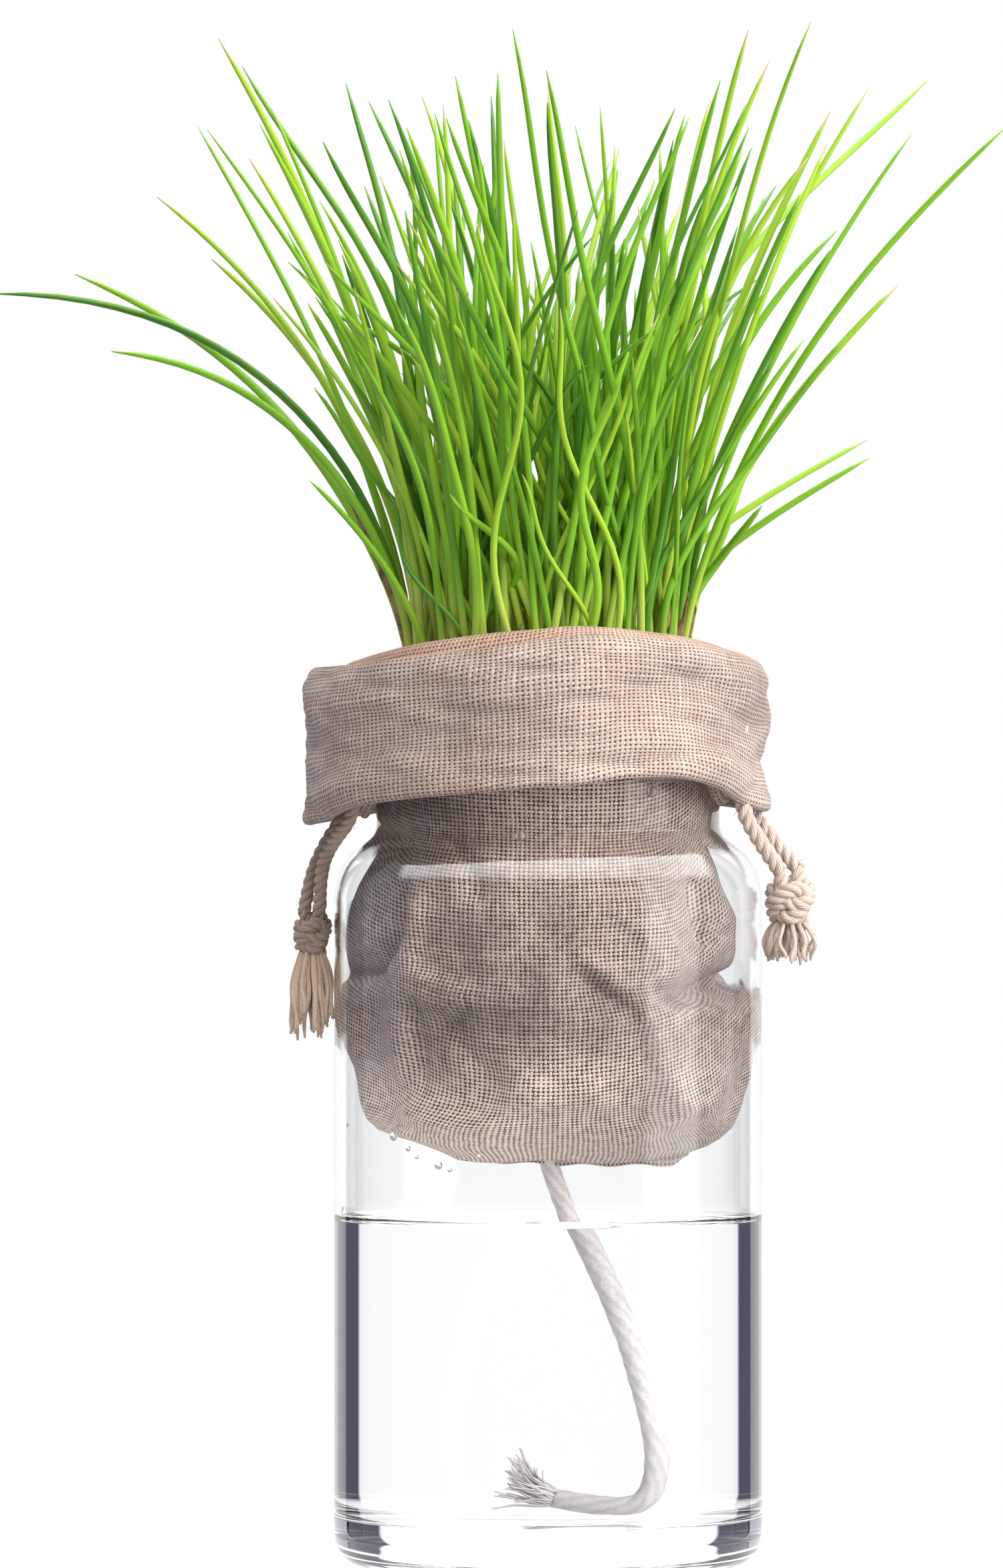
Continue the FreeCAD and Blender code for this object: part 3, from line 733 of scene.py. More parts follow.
@dataclass(frozen=True)
class Linen(Finish):
    """Plain-woven linen: threads over and under, with dark pinholes where they leave gaps.

    Attributes:
        pale, deep: Colours of the lightest and the darkest threads.
        gap, rust: Colours seen through the pinholes, and of the few flecks of raw flax.
        warp, weft: Threads in a metre along u and along v.
        open: How much of the weave is pinhole, from 0 to 1.
        relief: Height of the threads in metres.
        clean: Painted light: tone that makes the cloth inside the mouth lighter and warmer, where the
            collar catches the light.
        mouth: Distance from the axis and height at which the inside of the mouth begins.
    """

    pale: Triple = (0.64, 0.505, 0.435)
    deep: Triple = (0.31, 0.230, 0.193)
    gap: Triple = (0.045, 0.026, 0.018)
    rust: Triple = (0.42, 0.27, 0.19)
    warp: float = 950.0
    weft: float = 1080.0
    open: float = 0.6
    relief: float = 0.00023
    clean: Triple = (1.30, 1.08, 0.95)
    mouth: Pair = (0.0478, 0.1975)

    def painted_light(self, board: Board, cloth: Value) -> tuple[Value, dict]:
        """Places of painted light: the inside of the mouth, lighter and warmer.

        Args:
            board: Board of the material.
            cloth: Even colour of the cloth.

        Returns:
            The colour, and further inputs of the shader.
        """
        x, y, z = board.parts(board.place())
        reach, height = self.mouth
        # Painted light: the cloth inside the mouth is made lighter and warmer.
        inside = board.step(board.math("SQRT", x**2.0 + y**2.0), reach, reach - 0.0012)
        inside = inside * board.step(z, height, height + 0.0015)
        return board.multiply_tone(cloth, inside, self.clean), {}

    def shader(self, board: Board) -> Value:
        """Height is the larger of warp and weft, whose crossings swap by the product of sines."""
        uv, place = board.uv(), board.place()
        u, v, _ = board.parts(uv)
        across = u * self.warp + board.noise(uv, 120.0) * 0.4
        along = v * self.weft + board.noise(board.vector(v, u), 110.0) * 0.4
        warp_wave = board.math("SINE", across * math.pi)
        weft_wave = board.math("SINE", along * math.pi)
        swap = warp_wave * weft_wave * 0.4
        warp = abs(warp_wave) * 0.6 + swap
        weft = abs(weft_wave) * 0.6 - swap
        height = board.math("MAXIMUM", warp, weft)
        on_top = board.math("GREATER_THAN", warp, weft)
        warp_tone = board.chance(board.math("FLOOR", across))
        weft_tone = board.chance(board.math("FLOOR", along) + 0.37)
        tone = board.between(on_top, weft_tone, warp_tone)
        warp_slub = board.noise(board.vector(across, along * 0.12), 1.0)
        weft_slub = board.noise(board.vector(along, across * 0.12), 1.0)
        slub = board.between(on_top, weft_slub, warp_slub)
        patch = board.noise(place, 38.0, 3.0)
        lightness = board.step(tone * 0.16 + slub * 0.40 + patch * 0.70, 0.30, 1.0)
        cloth = board.mix(lightness, self.deep, self.pale)
        rust = board.step(board.noise(board.vector(u, v, 0.3), 55.0, 4.0), 0.58, 0.78)
        cloth = board.mix(rust * 0.35, cloth, self.rust)
        cloth, more = self.painted_light(board, cloth)
        hole_size = board.noise(uv, 420.0) * (0.5 * self.open)
        cloth = board.mix(board.step(height - hole_size, 0.04, 0.40), self.gap, cloth)
        fibre = board.noise(place, 9000.0, 1.0)
        normal = board.bump(height + fibre * 0.18, self.relief)
        # Painted glow: the pouch's emission takes the cloth's colour.
        if more:
            more["Emission_Color"] = cloth
        fuzz = {"Specular_IOR_Level": 0.2, "Sheen_Weight": 0.12, "Sheen_Roughness": 0.5}
        return board.surface(cloth, 0.92, Normal=normal, **fuzz, **more)


@dataclass(frozen=True)
class PouchLinenPaintedLight(Linen):
    """Linen of the pouch, with painted shade in patches, at the right and at the left of the neck, and
    painted light over the rest of the neck and at its paler, glowing low end.

    Attributes:
        damp: How dark the patches of painted shade are, from 0 to 1.
        patches: Place across, height, half width and half height of each patch of painted shade.
        wet, right: Tones of the painted shade in the patches, and of the painted shade over the cloth at
            the right.
        shaded, lit: Tones of the painted shade at the left of the neck, and of the painted light over
            the rest of it.
        glow: Strength of a painted glow, an emission at the cloth's lower end that stands in for light
            from below and behind.
    """

    pale: Triple = (0.68, 0.545, 0.475)
    deep: Triple = (0.33, 0.245, 0.210)
    open: float = 1.05
    damp: float = 0.6
    patches: Table = (
        (-0.006, 0.124, 0.029, 0.014), (-0.018, 0.142, 0.012, 0.006), (-0.022, 0.115, 0.010, 0.012),
    )
    wet: Triple = (0.43, 0.45, 0.50)
    right: Triple = (0.80, 0.80, 0.81)
    shaded: Triple = (0.62, 0.61, 0.62)
    lit: Triple = (1.32, 1.31, 1.32)
    glow: float = 0.5

    def painted_light(self, board: Board, cloth: Value) -> tuple[Value, dict]:
        """Painted shade in the patches, at the right and at the neck, and painted light at the neck and
        the lower end.

        Args:
            board: Board of the material.
            cloth: Even colour of the cloth.

        Returns:
            The colour, and the strength of the painted glow.
        """
        x, _, z = board.parts(board.place())
        wander = board.noise(board.place(), 60.0) * 1.4
        # Painted shade: darker, bluish patches on the cloth.
        wet = 0.0
        for middle_x, middle_z, half_x, half_z in self.patches:
            reach = ((x - middle_x) / half_x) ** 2.0 + ((z - middle_z) / half_z) ** 2.0
            wet = board.math("MAXIMUM", wet, board.step(reach + wander, 2.0, 0.6))
        cloth = board.multiply_tone(cloth, wet * self.damp, self.wet)
        # Painted shade: the cloth at the right is darkened, where the right lamp lights it most.
        cloth = board.multiply_tone(cloth, board.step(x, 0.004, 0.024), self.right)
        # Painted shade at the left of the neck under the cuff, and painted light over the rest of it.
        neck = board.step(z, 0.163, 0.169)
        cloth = board.multiply_tone(cloth, neck * board.step(x, -0.012, -0.026), self.shaded)
        cloth = board.multiply_tone(cloth, neck * board.step(x, -0.022, -0.004), self.lit)
        # Painted glow: emission at the lower end, which is no lamp.
        glow = board.step(z, 0.121, 0.099) * self.glow * board.step(x, 0.045, -0.03)
        # Painted light: the lower end is mixed paler, standing in for light from the floor and from
        # behind.
        dry = board.mix(0.55, cloth, self.pale)
        cloth = board.mix(board.step(z, 0.124, 0.104), cloth, dry)
        return cloth, {"Emission_Strength": glow}


@dataclass(frozen=True)
class Cotton(Finish):
    """Soft cotton yarn whose fine fibres wind round each ply.

    Attributes:
        pale, deep: Colours of the raised fibres and between them.
        turns: Fibre lines round a ply.
        pitch: Length in metres in which a fibre line moves one place round.
        low_darkening: How much darker the yarn is near the floor of the jar, from 0 to 1.
    """

    pale: Triple
    deep: Triple
    turns: float = 9.0
    pitch: float = 0.0011
    low_darkening: float = 0.0

    def shader(self, board: Board) -> Value:
        """Fibre lines are a sine of the place round the ply and along it, broken up by noise."""
        place = board.place()
        u, v, _ = board.parts(board.uv())
        turn = u * self.turns + v / self.pitch + board.noise(place, 900.0)
        line = board.math("SINE", turn * FULL_TURN)
        height = line * 0.25 + board.noise(place, 5200.0)
        tone = height + board.noise(place, 160.0) * 0.7
        colour = board.mix(board.step(tone, 0.25, 1.25), self.deep, self.pale)
        # Darker towards the floor of the jar.
        clear = 1.0 - self.low_darkening
        low = board.step(board.parts(place)[2], 0.036, 0.014)
        colour = board.multiply_tone(colour, low, (clear, clear, clear))
        normal = board.bump(height, 0.00018)
        fuzz = {"Specular_IOR_Level": 0.2, "Sheen_Weight": 0.25, "Sheen_Roughness": 0.6}
        return board.surface(colour, 0.95, Normal=normal, **fuzz)


@dataclass(frozen=True)
class ChiveSkin(Finish):
    """Fresh chive leaf, with fine lines along it.

    Attributes:
        foot, dry: Colours of the pale foot and of a withered tip.
        lime, green, deep: Colours of the brightest leaves and lines, and of darker ones.
    """

    foot: Triple = (0.40, 0.48, 0.075)
    lime: Triple = (0.31, 0.50, 0.030)
    green: Triple = (0.165, 0.40, 0.014)
    deep: Triple = (0.035, 0.150, 0.008)
    dry: Triple = (0.42, 0.33, 0.12)

    def shader(self, board: Board) -> Value:
        """Colour follows the leaf's own tint and the height along it."""
        tint = board.tint()
        u, v, _ = board.parts(board.uv())
        tone = tint + board.noise(board.place(), 45.0) * 0.4
        blade = board.mix(board.step(tone, 0.15, 0.75), self.deep, self.green)
        blade = board.mix(board.step(tone, 0.65, 1.15), blade, self.lime)
        rib = board.noise(board.vector(u * 5.0, v * 3.0), 1.0)
        blade = board.mix(board.step(rib, 0.4, 0.75) * 0.3, blade, self.lime)
        colour = board.mix(board.step(v - tint * 0.12, 0.26, 0.02), blade, self.foot)
        tip = board.step(v, 0.955, 0.99) * board.step(tint, 0.72, 0.76)
        colour = board.mix(tip, colour, self.dry)
        normal = board.bump(rib, 0.00005, 0.3)
        wax = {"Specular_IOR_Level": 0.45, "Coat_Weight": 0.12, "Coat_Roughness": 0.3}
        return board.surface(colour, 0.42, Normal=normal, **wax)


@dataclass(frozen=True)
class Mottled(Finish):
    """Dull natural matter in two colours with a rough surface.

    Attributes:
        pale, deep: The two colours.
        grain: Scale of the mottling in places to a metre.
        relief: Depth of the surface's roughness in metres.
    """

    pale: Triple
    deep: Triple
    grain: float = 500.0
    relief: float = 0.0004

    def shader(self, board: Board) -> Value:
        """Two octaves of noise mix the colours and raise the surface."""
        place = board.place()
        fine = board.noise(place, 5 * self.grain)
        height = board.noise(place, self.grain, 4.0) + fine * 0.4
        colour = board.mix(board.step(height, 0.4, 1.0), self.deep, self.pale)
        return board.surface(colour, 0.9, Normal=board.bump(height, self.relief))


class Finishes:
    """Every finish of the planter, made once."""

    def __init__(self) -> None:
        """Builds the materials."""
        self.glass = ClearGlass("clear_glass", 1.5, (0.99, 0.995, 0.992)).build()
        self.touched_glass = TouchedGlass("glass_behind_cloth").build()
        self.wet_glass = ClearGlass("wet_glass", 1.5 / 1.333).build()
        self.water = ClearGlass("water_surface", 1.333).build()
        self.water_side = Finish("water_against_glass").build()
        self.linen = Linen("linen_weave").build()
        self.pouch_linen = PouchLinenPaintedLight("pouch_linen_painted_light").build()
        self.frayed = Cotton("frayed_cotton", (0.84, 0.64, 0.49), (0.46, 0.31, 0.22)).build()
        self.wick = Cotton("wick_cotton", (0.80, 0.75, 0.735), (0.56, 0.51, 0.50), 6.0, 0.005).build()
        self.wet_wick = Cotton(
            "wet_wick_cotton", (0.64, 0.61, 0.60), (0.47, 0.44, 0.435), 6.0, 0.005, 0.34
        ).build()
        self.grey_cord = Cotton("grey_cord_cotton", (0.53, 0.385, 0.31), (0.215, 0.145, 0.11)).build()
        self.cream_cord = Cotton("cream_cord_cotton", (0.76, 0.62, 0.53), (0.42, 0.30, 0.245)).build()
        self.leaf = ChiveSkin("chive_skin").build()
        self.coir = Mottled("moist_coir", (0.10, 0.055, 0.028), (0.016, 0.010, 0.006)).build()
        husk = Mottled("dry_husk", (0.34, 0.24, 0.10), (0.075, 0.045, 0.020), 260.0, 0.0002)
        self.husk = husk.build()


def aim(thing: bpy.types.Object, place: Sequence[float], target: Sequence[float]) -> None:
    """Links a camera or a lamp and turns it to a target.

    Args:
        thing: The camera or the lamp.
        place: Its place.
        target: Place that it faces.
    """
    thing.location = place
    sight = Vector(target) - thing.location
    thing.rotation_euler = sight.to_track_quat("-Z", "Y").to_euler()
    bpy.context.scene.collection.objects.link(thing)


@dataclass(frozen=True)
class Lamp:
    """Soft rectangular lamp that faces the bag.

    Attributes:
        name: Its name.
        place: Its middle, in metres.
        size: Its width and height in metres.
        power: Its power in watts.
    """

    name: str
    place: Triple
    size: Pair
    power: float

    def hang(self) -> None:
        """Adds the lamp, which neither glass nor water mirrors."""
        data = bpy.data.lights.new(self.name, "AREA")
        data.shape = "RECTANGLE"
        data.size, data.size_y = self.size
        data.energy = self.power
        lamp = bpy.data.objects.new(self.name, data)
        lamp.visible_glossy = False
        lamp.visible_transmission = False
        aim(lamp, self.place, (0.0, 0.0, 0.16))


@dataclass
class Studio:
    """Camera at the photograph's angle, soft lamps, plain floor and pale surroundings.

    Attributes:
        scale: Millimetres of the object to a pixel of the photograph.
        axis_pixel, base_pixel: Pixel column of the jar's axis, and row of its base.
        size: Width and height of the photograph in pixels.
        distance, eye: Distance of the camera from the jar's axis, and its height.
        film: Height of the camera's sensor in millimetres.
        lamps: One above the front, one at the right, a weak one at the left, and two more.
    """

    scale: float = 0.15
    axis_pixel: float = 819.5
    base_pixel: float = 2340.0
    size: tuple[int, int] = (1500, 2346)
    distance: float = 1.9
    eye: float = 0.155
    film: float = 36.0
    lamps: tuple[Lamp, ...] = (
        Lamp("front_top_lamp", (0.25, -0.85, 1.05), (0.7, 0.4), 7.0),
        Lamp("right_lamp", (0.95, -0.55, 0.45), (0.45, 0.8), 15.0),
        Lamp("left_lamp", (-1.1, -0.7, 0.4), (0.7, 0.9), 1.0),
        Lamp("top_lamp", (0.1, 0.25, 1.3), (0.9, 0.7), 6.0),
        Lamp("low_lamp", (0.15, -0.85, -0.05), (0.9, 0.3), 1.6),
    )

    def aim_camera(self) -> None:
        """Places the camera so that the picture's middle and height match the photograph's."""
        middle_x = (self.size[0] / 2 - self.axis_pixel) * self.scale * MM
        middle_z = (self.base_pixel - self.size[1] / 2) * self.scale * MM
        tall = self.size[1] * self.scale * MM
        data = bpy.data.cameras.new("photo_camera")
        data.sensor_fit = "VERTICAL"
        data.sensor_height = self.film
        data.sensor_width = self.film
        data.lens = self.film * self.distance / tall
        camera = bpy.data.objects.new("photo_camera", data)
        aim(camera, (middle_x, -self.distance, self.eye), (middle_x, 0.0, middle_z))
        bpy.context.scene.camera = camera

    def surround(self) -> None:
        """World: white behind the object, soft dark screens aside, and a softbox over the front.

        The screens and the softboxes are bands of a ray's bearings and heights, which the glass
        and the water bend or mirror. The overhead softbox is set by the direction half-way to
        the camera, so that it shows where the glass faces it.
        """
        board = Board(bpy.data.worlds.new("studio"))
        bpy.context.scene.world = board.owner
        x, y, z = board.parts(board.add("TexCoord", output="Generated"))
        ahead = board.math("ARCTAN2", abs(x), y)
        right = board.math("ARCTAN2", x, y * -1.0)
        rise = board.math("ARCSINE", z)
        low = board.band(rise, -60, 50, 12)
        dark = board.band(ahead, 39.5, 61, 1.5) * 0.93
        side = board.band(ahead, 61, 100, 4) * 0.72
        front = board.band(ahead, 100, 200, 6) * 0.80
        seen = 1.0 - (dark + side + front) * low
        toward = 1.0 - y
        tilt = board.math("ARCTAN2", z, board.math("SQRT", x**2.0 + toward**2.0))
        swing = board.math("ARCTAN2", x, toward)
        over = board.band(tilt, 19, 80, 5) * 2.9 * board.band(swing, -45, 51, 3)
        tall = board.band(right, 54, 88, 5) * 1.6 * board.band(rise, -30, 30, 6)
        lit = (seen + (over + tall)) * 1.08
        soft, direct = board.ray("Diffuse"), board.ray("Camera")
        strength = lit * (1.0 - soft) + soft * 0.42
        strength = strength * (1.0 - direct) + direct
        screened = (dark + side) * low * (1.0 - board.math("MINIMUM", tall + over, 1.0))
        hue = board.mix(screened * (1.0 - direct), WHITE, (0.80, 0.95, 1.40))
        board.finish(board.add("Background", {"Color": hue, "Strength": strength}))

    def floor(self) -> None:
        """Pale round floor that fades into the surroundings."""
        board = Board(bpy.data.materials.new("studio_floor"))
        x, y, _ = board.parts(board.place())
        fade = board.step(board.math("SQRT", x * x + y * y), 0.05, 0.14)
        paper = board.surface((0.86, 0.86, 0.86), 0.8, Emission_Color=WHITE, Emission_Strength=0.12)
        clear = board.add("BsdfTransparent")
        rings = np.array([[0.8, 0.0], [0.001, 0.0]])
        mesh = make_mesh("studio_floor", [Skin(lathe(rings, 64), capped=False)])
        mesh.materials.append(board.finish(board.add("MixShader", {0: fade, 1: paper, 2: clear})))
        floor = bpy.data.objects.new("studio_floor", mesh)
        bpy.context.scene.collection.objects.link(floor)

    def set_view(self) -> None:
        """Plain colour management, and enough bounces for the glass and the water."""
        scene = bpy.context.scene
        scene.view_settings.view_transform = "Standard"
        scene.cycles.transparent_max_bounces = 24
        scene.cycles.transmission_bounces = 16
        scene.cycles.max_bounces = 16

    def dress(self) -> None:
        """Hangs the lamps, and sets the surroundings, the floor and the view."""
        for lamp in self.lamps:
            lamp.hang()
        self.surround()
        self.floor()
        self.set_view()


@dataclass
class GlassJar:
    """Thin clear jar with a thick floor, and the water in it.

    Attributes:
        finishes: The finishes.
        radius, wall: Outer radius and thickness of the wall.
        neck, neck_wall: Outer radius and thickness of the neck.
        rim, floor: Heights of the rim and of the inner floor.
        push_up: Height of the hollow under the base.
        shoulder: Heights at which the shoulder starts and ends.
        bends: Radii of the shoulder's lower and upper bend.
        water, creep: Height of the water, and how far it climbs at the wall.
        gap: Gap that keeps the water off the glass.
        columns, steps: Points of each ring, and of each rounded corner.
        drops: Drops outside: bearing from the front in degrees, height and radius in millimetres.
        beads: Drops on the inside.
    """

    finishes: Finishes
    radius: float = 48.0 * MM
    wall: float = 1.3 * MM
    neck: float = 38.5 * MM
    neck_wall: float = 2.0 * MM
    rim: float = 200.0 * MM
    floor: float = 10.8 * MM
    push_up: float = 1.6 * MM
    shoulder: Pair = (156.5 * MM, 164.0 * MM)
    bends: Pair = (15.0 * MM, 4.0 * MM)
    water: float = 77.0 * MM
    creep: float = 1.7 * MM
    gap: float = 0.05 * MM
    columns: int = 256
    steps: int = 14
    drops: Table = ((-9.0, 163.2, 1.3), (36.0, 173.2, 1.3))
    beads: Table = (
        (-46.5, 97.0, 0.9), (-41.0, 94.4, 0.6), (-38.0, 92.6, 0.45), (-31.0, 90.9, 0.9),
        (-27.5, 89.9, 0.5), (-19.0, 92.9, 0.5), (-74.0, 80.2, 0.6), (-70.0, 99.0, 0.4),
    )

    def inside(self, gap: float) -> Grid:
        """Outline of the inner wall, from the top of the wet zone down to the floor's middle.

        Args:
            gap: Distance that the outline keeps from the glass.

        Returns:
            Points of the outline, (points, 2).
        """
        across, low = self.radius - self.wall - gap, self.floor + gap
        corners = [(across, self.water + self.creep, 0.0), (across, low, 4.0 * MM), (0.2 * MM, low, 0.0)]
        return rounded_line(corners, self.steps)

    def make_jar(self) -> None:
        """One closed wall: under the base, up the outside, over the rim and down the inside."""
        low, high = self.shoulder
        low_bend, high_bend = self.bends
        inner, inner_neck = self.radius - self.wall, self.neck - self.neck_wall
        outside = [
            (0.2 * MM, self.push_up, 0.0), (20.0 * MM, self.push_up, 12.0 * MM),
            (36.0 * MM, 0.0, 6.0 * MM), (self.radius, 0.0, 7.0 * MM), (self.radius, low, low_bend),
            (self.neck, high, high_bend), (self.neck, self.rim, 0.9 * MM),
            (inner_neck, self.rim, 0.0),
        ]
        above = [
            (inner_neck, self.rim, 0.0), (inner_neck, high, high_bend), (inner, low, low_bend),
            (inner, self.water + self.creep, 0.0),
        ]
        dry, back = rounded_line(outside, self.steps), rounded_line(above, self.steps)
        outline = np.concatenate([dry, back[1:], self.inside(0.0)[1:]])
        zones = np.zeros(len(outline) - 1, int)
        zones[len(dry) - 1 :] = 1
        zones[len(dry) + len(back) - 2 :] = 2
        skin = Skin(lathe(outline, self.columns), zones=zones)
        glasses = [self.finishes.glass, self.finishes.touched_glass, self.finishes.wet_glass]
        make_piece("glass_jar_wall", [skin], glasses, Body.JAR, ["glass_jar"])

    def make_water(self) -> None:
        """Water up to its level, which climbs the wall as an exponential of the distance to it."""
        wall = self.radius - self.wall - self.gap
        below = self.inside(self.gap)[::-1]
        off = np.array([0.15, 0.35, 0.6, 0.9, 1.3, 1.8, 2.5, 3.5, 5.0, 8.0, 20.0, 46.0]) * MM
        across = wall - off
        level = self.water + self.creep * np.exp(-(wall - across) / (1.3 * MM))
        outline = np.concatenate([below, np.stack([across, level], -1)])
        zones = np.zeros(len(outline) - 1, int)
        zones[len(below) - 1 :] = 1
        skin = Skin(lathe(outline, self.columns), zones=zones)
        faces = [self.finishes.water_side, self.finishes.water]
        make_piece("water_fill", [skin], faces, Body.JAR, ["water"])

    def make_drops(self) -> None:
        """Drops on the glass, each a slightly tall ball half sunk in the wall."""
        latitude = np.linspace(-math.pi / 2 + 0.05, math.pi / 2 - 0.05, 14)
        half_circle = np.stack([np.cos(latitude), np.sin(latitude)], -1)
        grids = []
        for bearing, height, size in self.drops + self.beads:
            across = self.radius - self.wall
            if (bearing, height, size) in self.drops:
                across = np.interp(height, [156.5, 164.0, 166.0], [46.6, 39.6, 38.7]) * MM
            middle = placed(across, math.radians(bearing - 90.0), height * MM)
            grids.append(lathe(half_circle * size * MM, 20) * [1.0, 1.0, 1.1] + middle)
        skin = Skin(np.concatenate(grids))
        make_piece("water_drops", [skin], [self.finishes.water], Body.JAR)

    def make(self) -> None:
        """Builds the jar, its water and the drops on its wall."""
        self.make_jar()
        self.make_water()
        self.make_drops()


@dataclass(frozen=True)
class Fold:
    """One fold of the pouch's front, along a line of places (x, z) in millimetres.

    Attributes:
        kind: Ridge, sharp crease or step.
        line: Places that the fold runs through.
        height: Height in millimetres, outward; for a step, that of its left side.
        width: Width in millimetres of the rise.
        reach: Distance in millimetres over which a step dies away.
        fade: Share of the line over which the fold rises at each end.
    """

    kind: FoldKind
    line: Table
    height: float
    width: float
    reach: float = 12.0
    fade: float = 0.22

    def lift(self, x: Grid, z: Grid) -> Grid:
        """Height of the fold at places, from the distance to its nearest stretch.

        A ridge is a bell curve of the distance, a crease a fading exponential, and a step a
        smooth step of the signed distance that dies away. All taper to the line's ends.

        Args:
            x: Places across, in millimetres.
            z: Heights, in millimetres.

        Returns:
            Heights in millimetres.
        """
        nodes = np.array(self.line)
        starts = lengths(nodes)
        near = np.full(x.shape, np.inf)
        signed = np.zeros(x.shape)
        along = np.zeros(x.shape)
        for begin, end, start in zip(nodes, nodes[1:], starts):
            length = np.linalg.norm(end - begin)
            way = (end - begin) / length
            away_x, away_z = x - begin[0], z - begin[1]
            part = np.clip(away_x * way[0] + away_z * way[1], 0.0, length)
            off_x, off_z = away_x - part * way[0], away_z - part * way[1]
            distance = np.hypot(off_x, off_z)
            closer = distance < near
            side = np.sign(way[0] * off_z - way[1] * off_x)
            near = np.where(closer, distance, near)
            signed = np.where(closer, distance * side, signed)
            along = np.where(closer, (start + part) / starts[-1], along)
        ends = smooth(along, 0.0, self.fade) * smooth(1.0 - along, 0.0, self.fade)
        if self.kind is FoldKind.RIDGE:
            return self.height * ends * np.exp(-((near / self.width) ** 2))
        if self.kind is FoldKind.CREASE:
            return -self.height * ends * np.exp(-near / self.width)
        fall = np.exp(-((near / self.reach) ** 2))
        return self.height * ends * fall * smooth(signed, -self.width / 2, self.width / 2)


RIDGE, CREASE, STEP = FoldKind.RIDGE, FoldKind.CREASE, FoldKind.STEP

# Folds of the pouch's front, as the photograph shows them. The first few also mark its back.
FOLDS = (
    Fold(STEP, ((-36, 127), (-34, 137.7), (-32.8, 146), (-31.6, 155), (-29, 171)), -3.4, 1.6, 14.0),
    Fold(RIDGE, ((-32.6, 130), (-31, 140), (-29.6, 152), (-27, 168)), 1.1, 2.4),
    Fold(CREASE, ((-36.4, 131), (-35, 140), (-33.6, 150), (-31.5, 163)), 1.6, 1.6),
    Fold(RIDGE, ((-50, 127.5), (-41.7, 129.3), (-34, 133.5), (-28, 130), (-18, 125)), 2.6, 3.2),
    Fold(CREASE, ((-50, 131.5), (-41, 132.8), (-36, 136)), 3.5, 2.2),
    Fold(RIDGE, ((-33.3, 134), (-33.5, 122), (-32, 106)), 1.6, 2.4),
    Fold(CREASE, ((-30, 133), (-30.2, 121), (-27.5, 104)), 1.3, 3.0),
    Fold(CREASE, ((-26, 126), (-18, 115), (-8, 104)), 2.2, 7.0),
    Fold(RIDGE, ((-28, 130), (-16, 126.5), (-4, 126), (6, 130)), 1.3, 4.0),
    Fold(RIDGE, ((-36, 104), (-24, 99), (-8, 97)), 1.3, 3.4),
    Fold(RIDGE, ((-14, 108), (2, 105), (16, 108)), 1.2, 5.0),
    Fold(RIDGE, ((4.5, 138.4), (17.9, 128.3), (23.2, 123.6), (31.3, 123.2), (40, 127.5)), 1.8, 2.2),
    Fold(CREASE, ((6, 134), (15, 127), (22, 120.5)), 0.9, 4.0),
    Fold(CREASE, ((24, 127), (30, 126.8), (38, 131), (44, 134)), 2.8, 2.4),
    Fold(RIDGE, ((14, 152), (20, 145), (25, 137), (27, 128)), 2.2, 3.6),
    Fold(CREASE, ((12, 147), (19, 139), (23, 131)), 0.6, 4.0),
    Fold(CREASE, ((20.4, 124), (21.5, 112), (23.6, 97)), 1.3, 3.6),
    Fold(RIDGE, ((26, 124), (26.4, 112), (28, 96)), 2.2, 3.6),
    Fold(STEP, ((31.5, 97), (38.5, 112), (44.5, 127)), 2.4, 1.6, 11.0),
    Fold(CREASE, ((34, 156), (35.5, 146), (37, 137)), 2.0, 2.4),
    Fold(CREASE, ((-24, 162), (-18, 156), (-16, 148)), 1.2, 3.0),
)
BACK_FOLDS = 9


def look_up(places: Grid, table: Table) -> Grid:
    """Values at places, straight between the rows (place, value) of a table."""
    return np.interp(places, *zip(*sorted(table)))


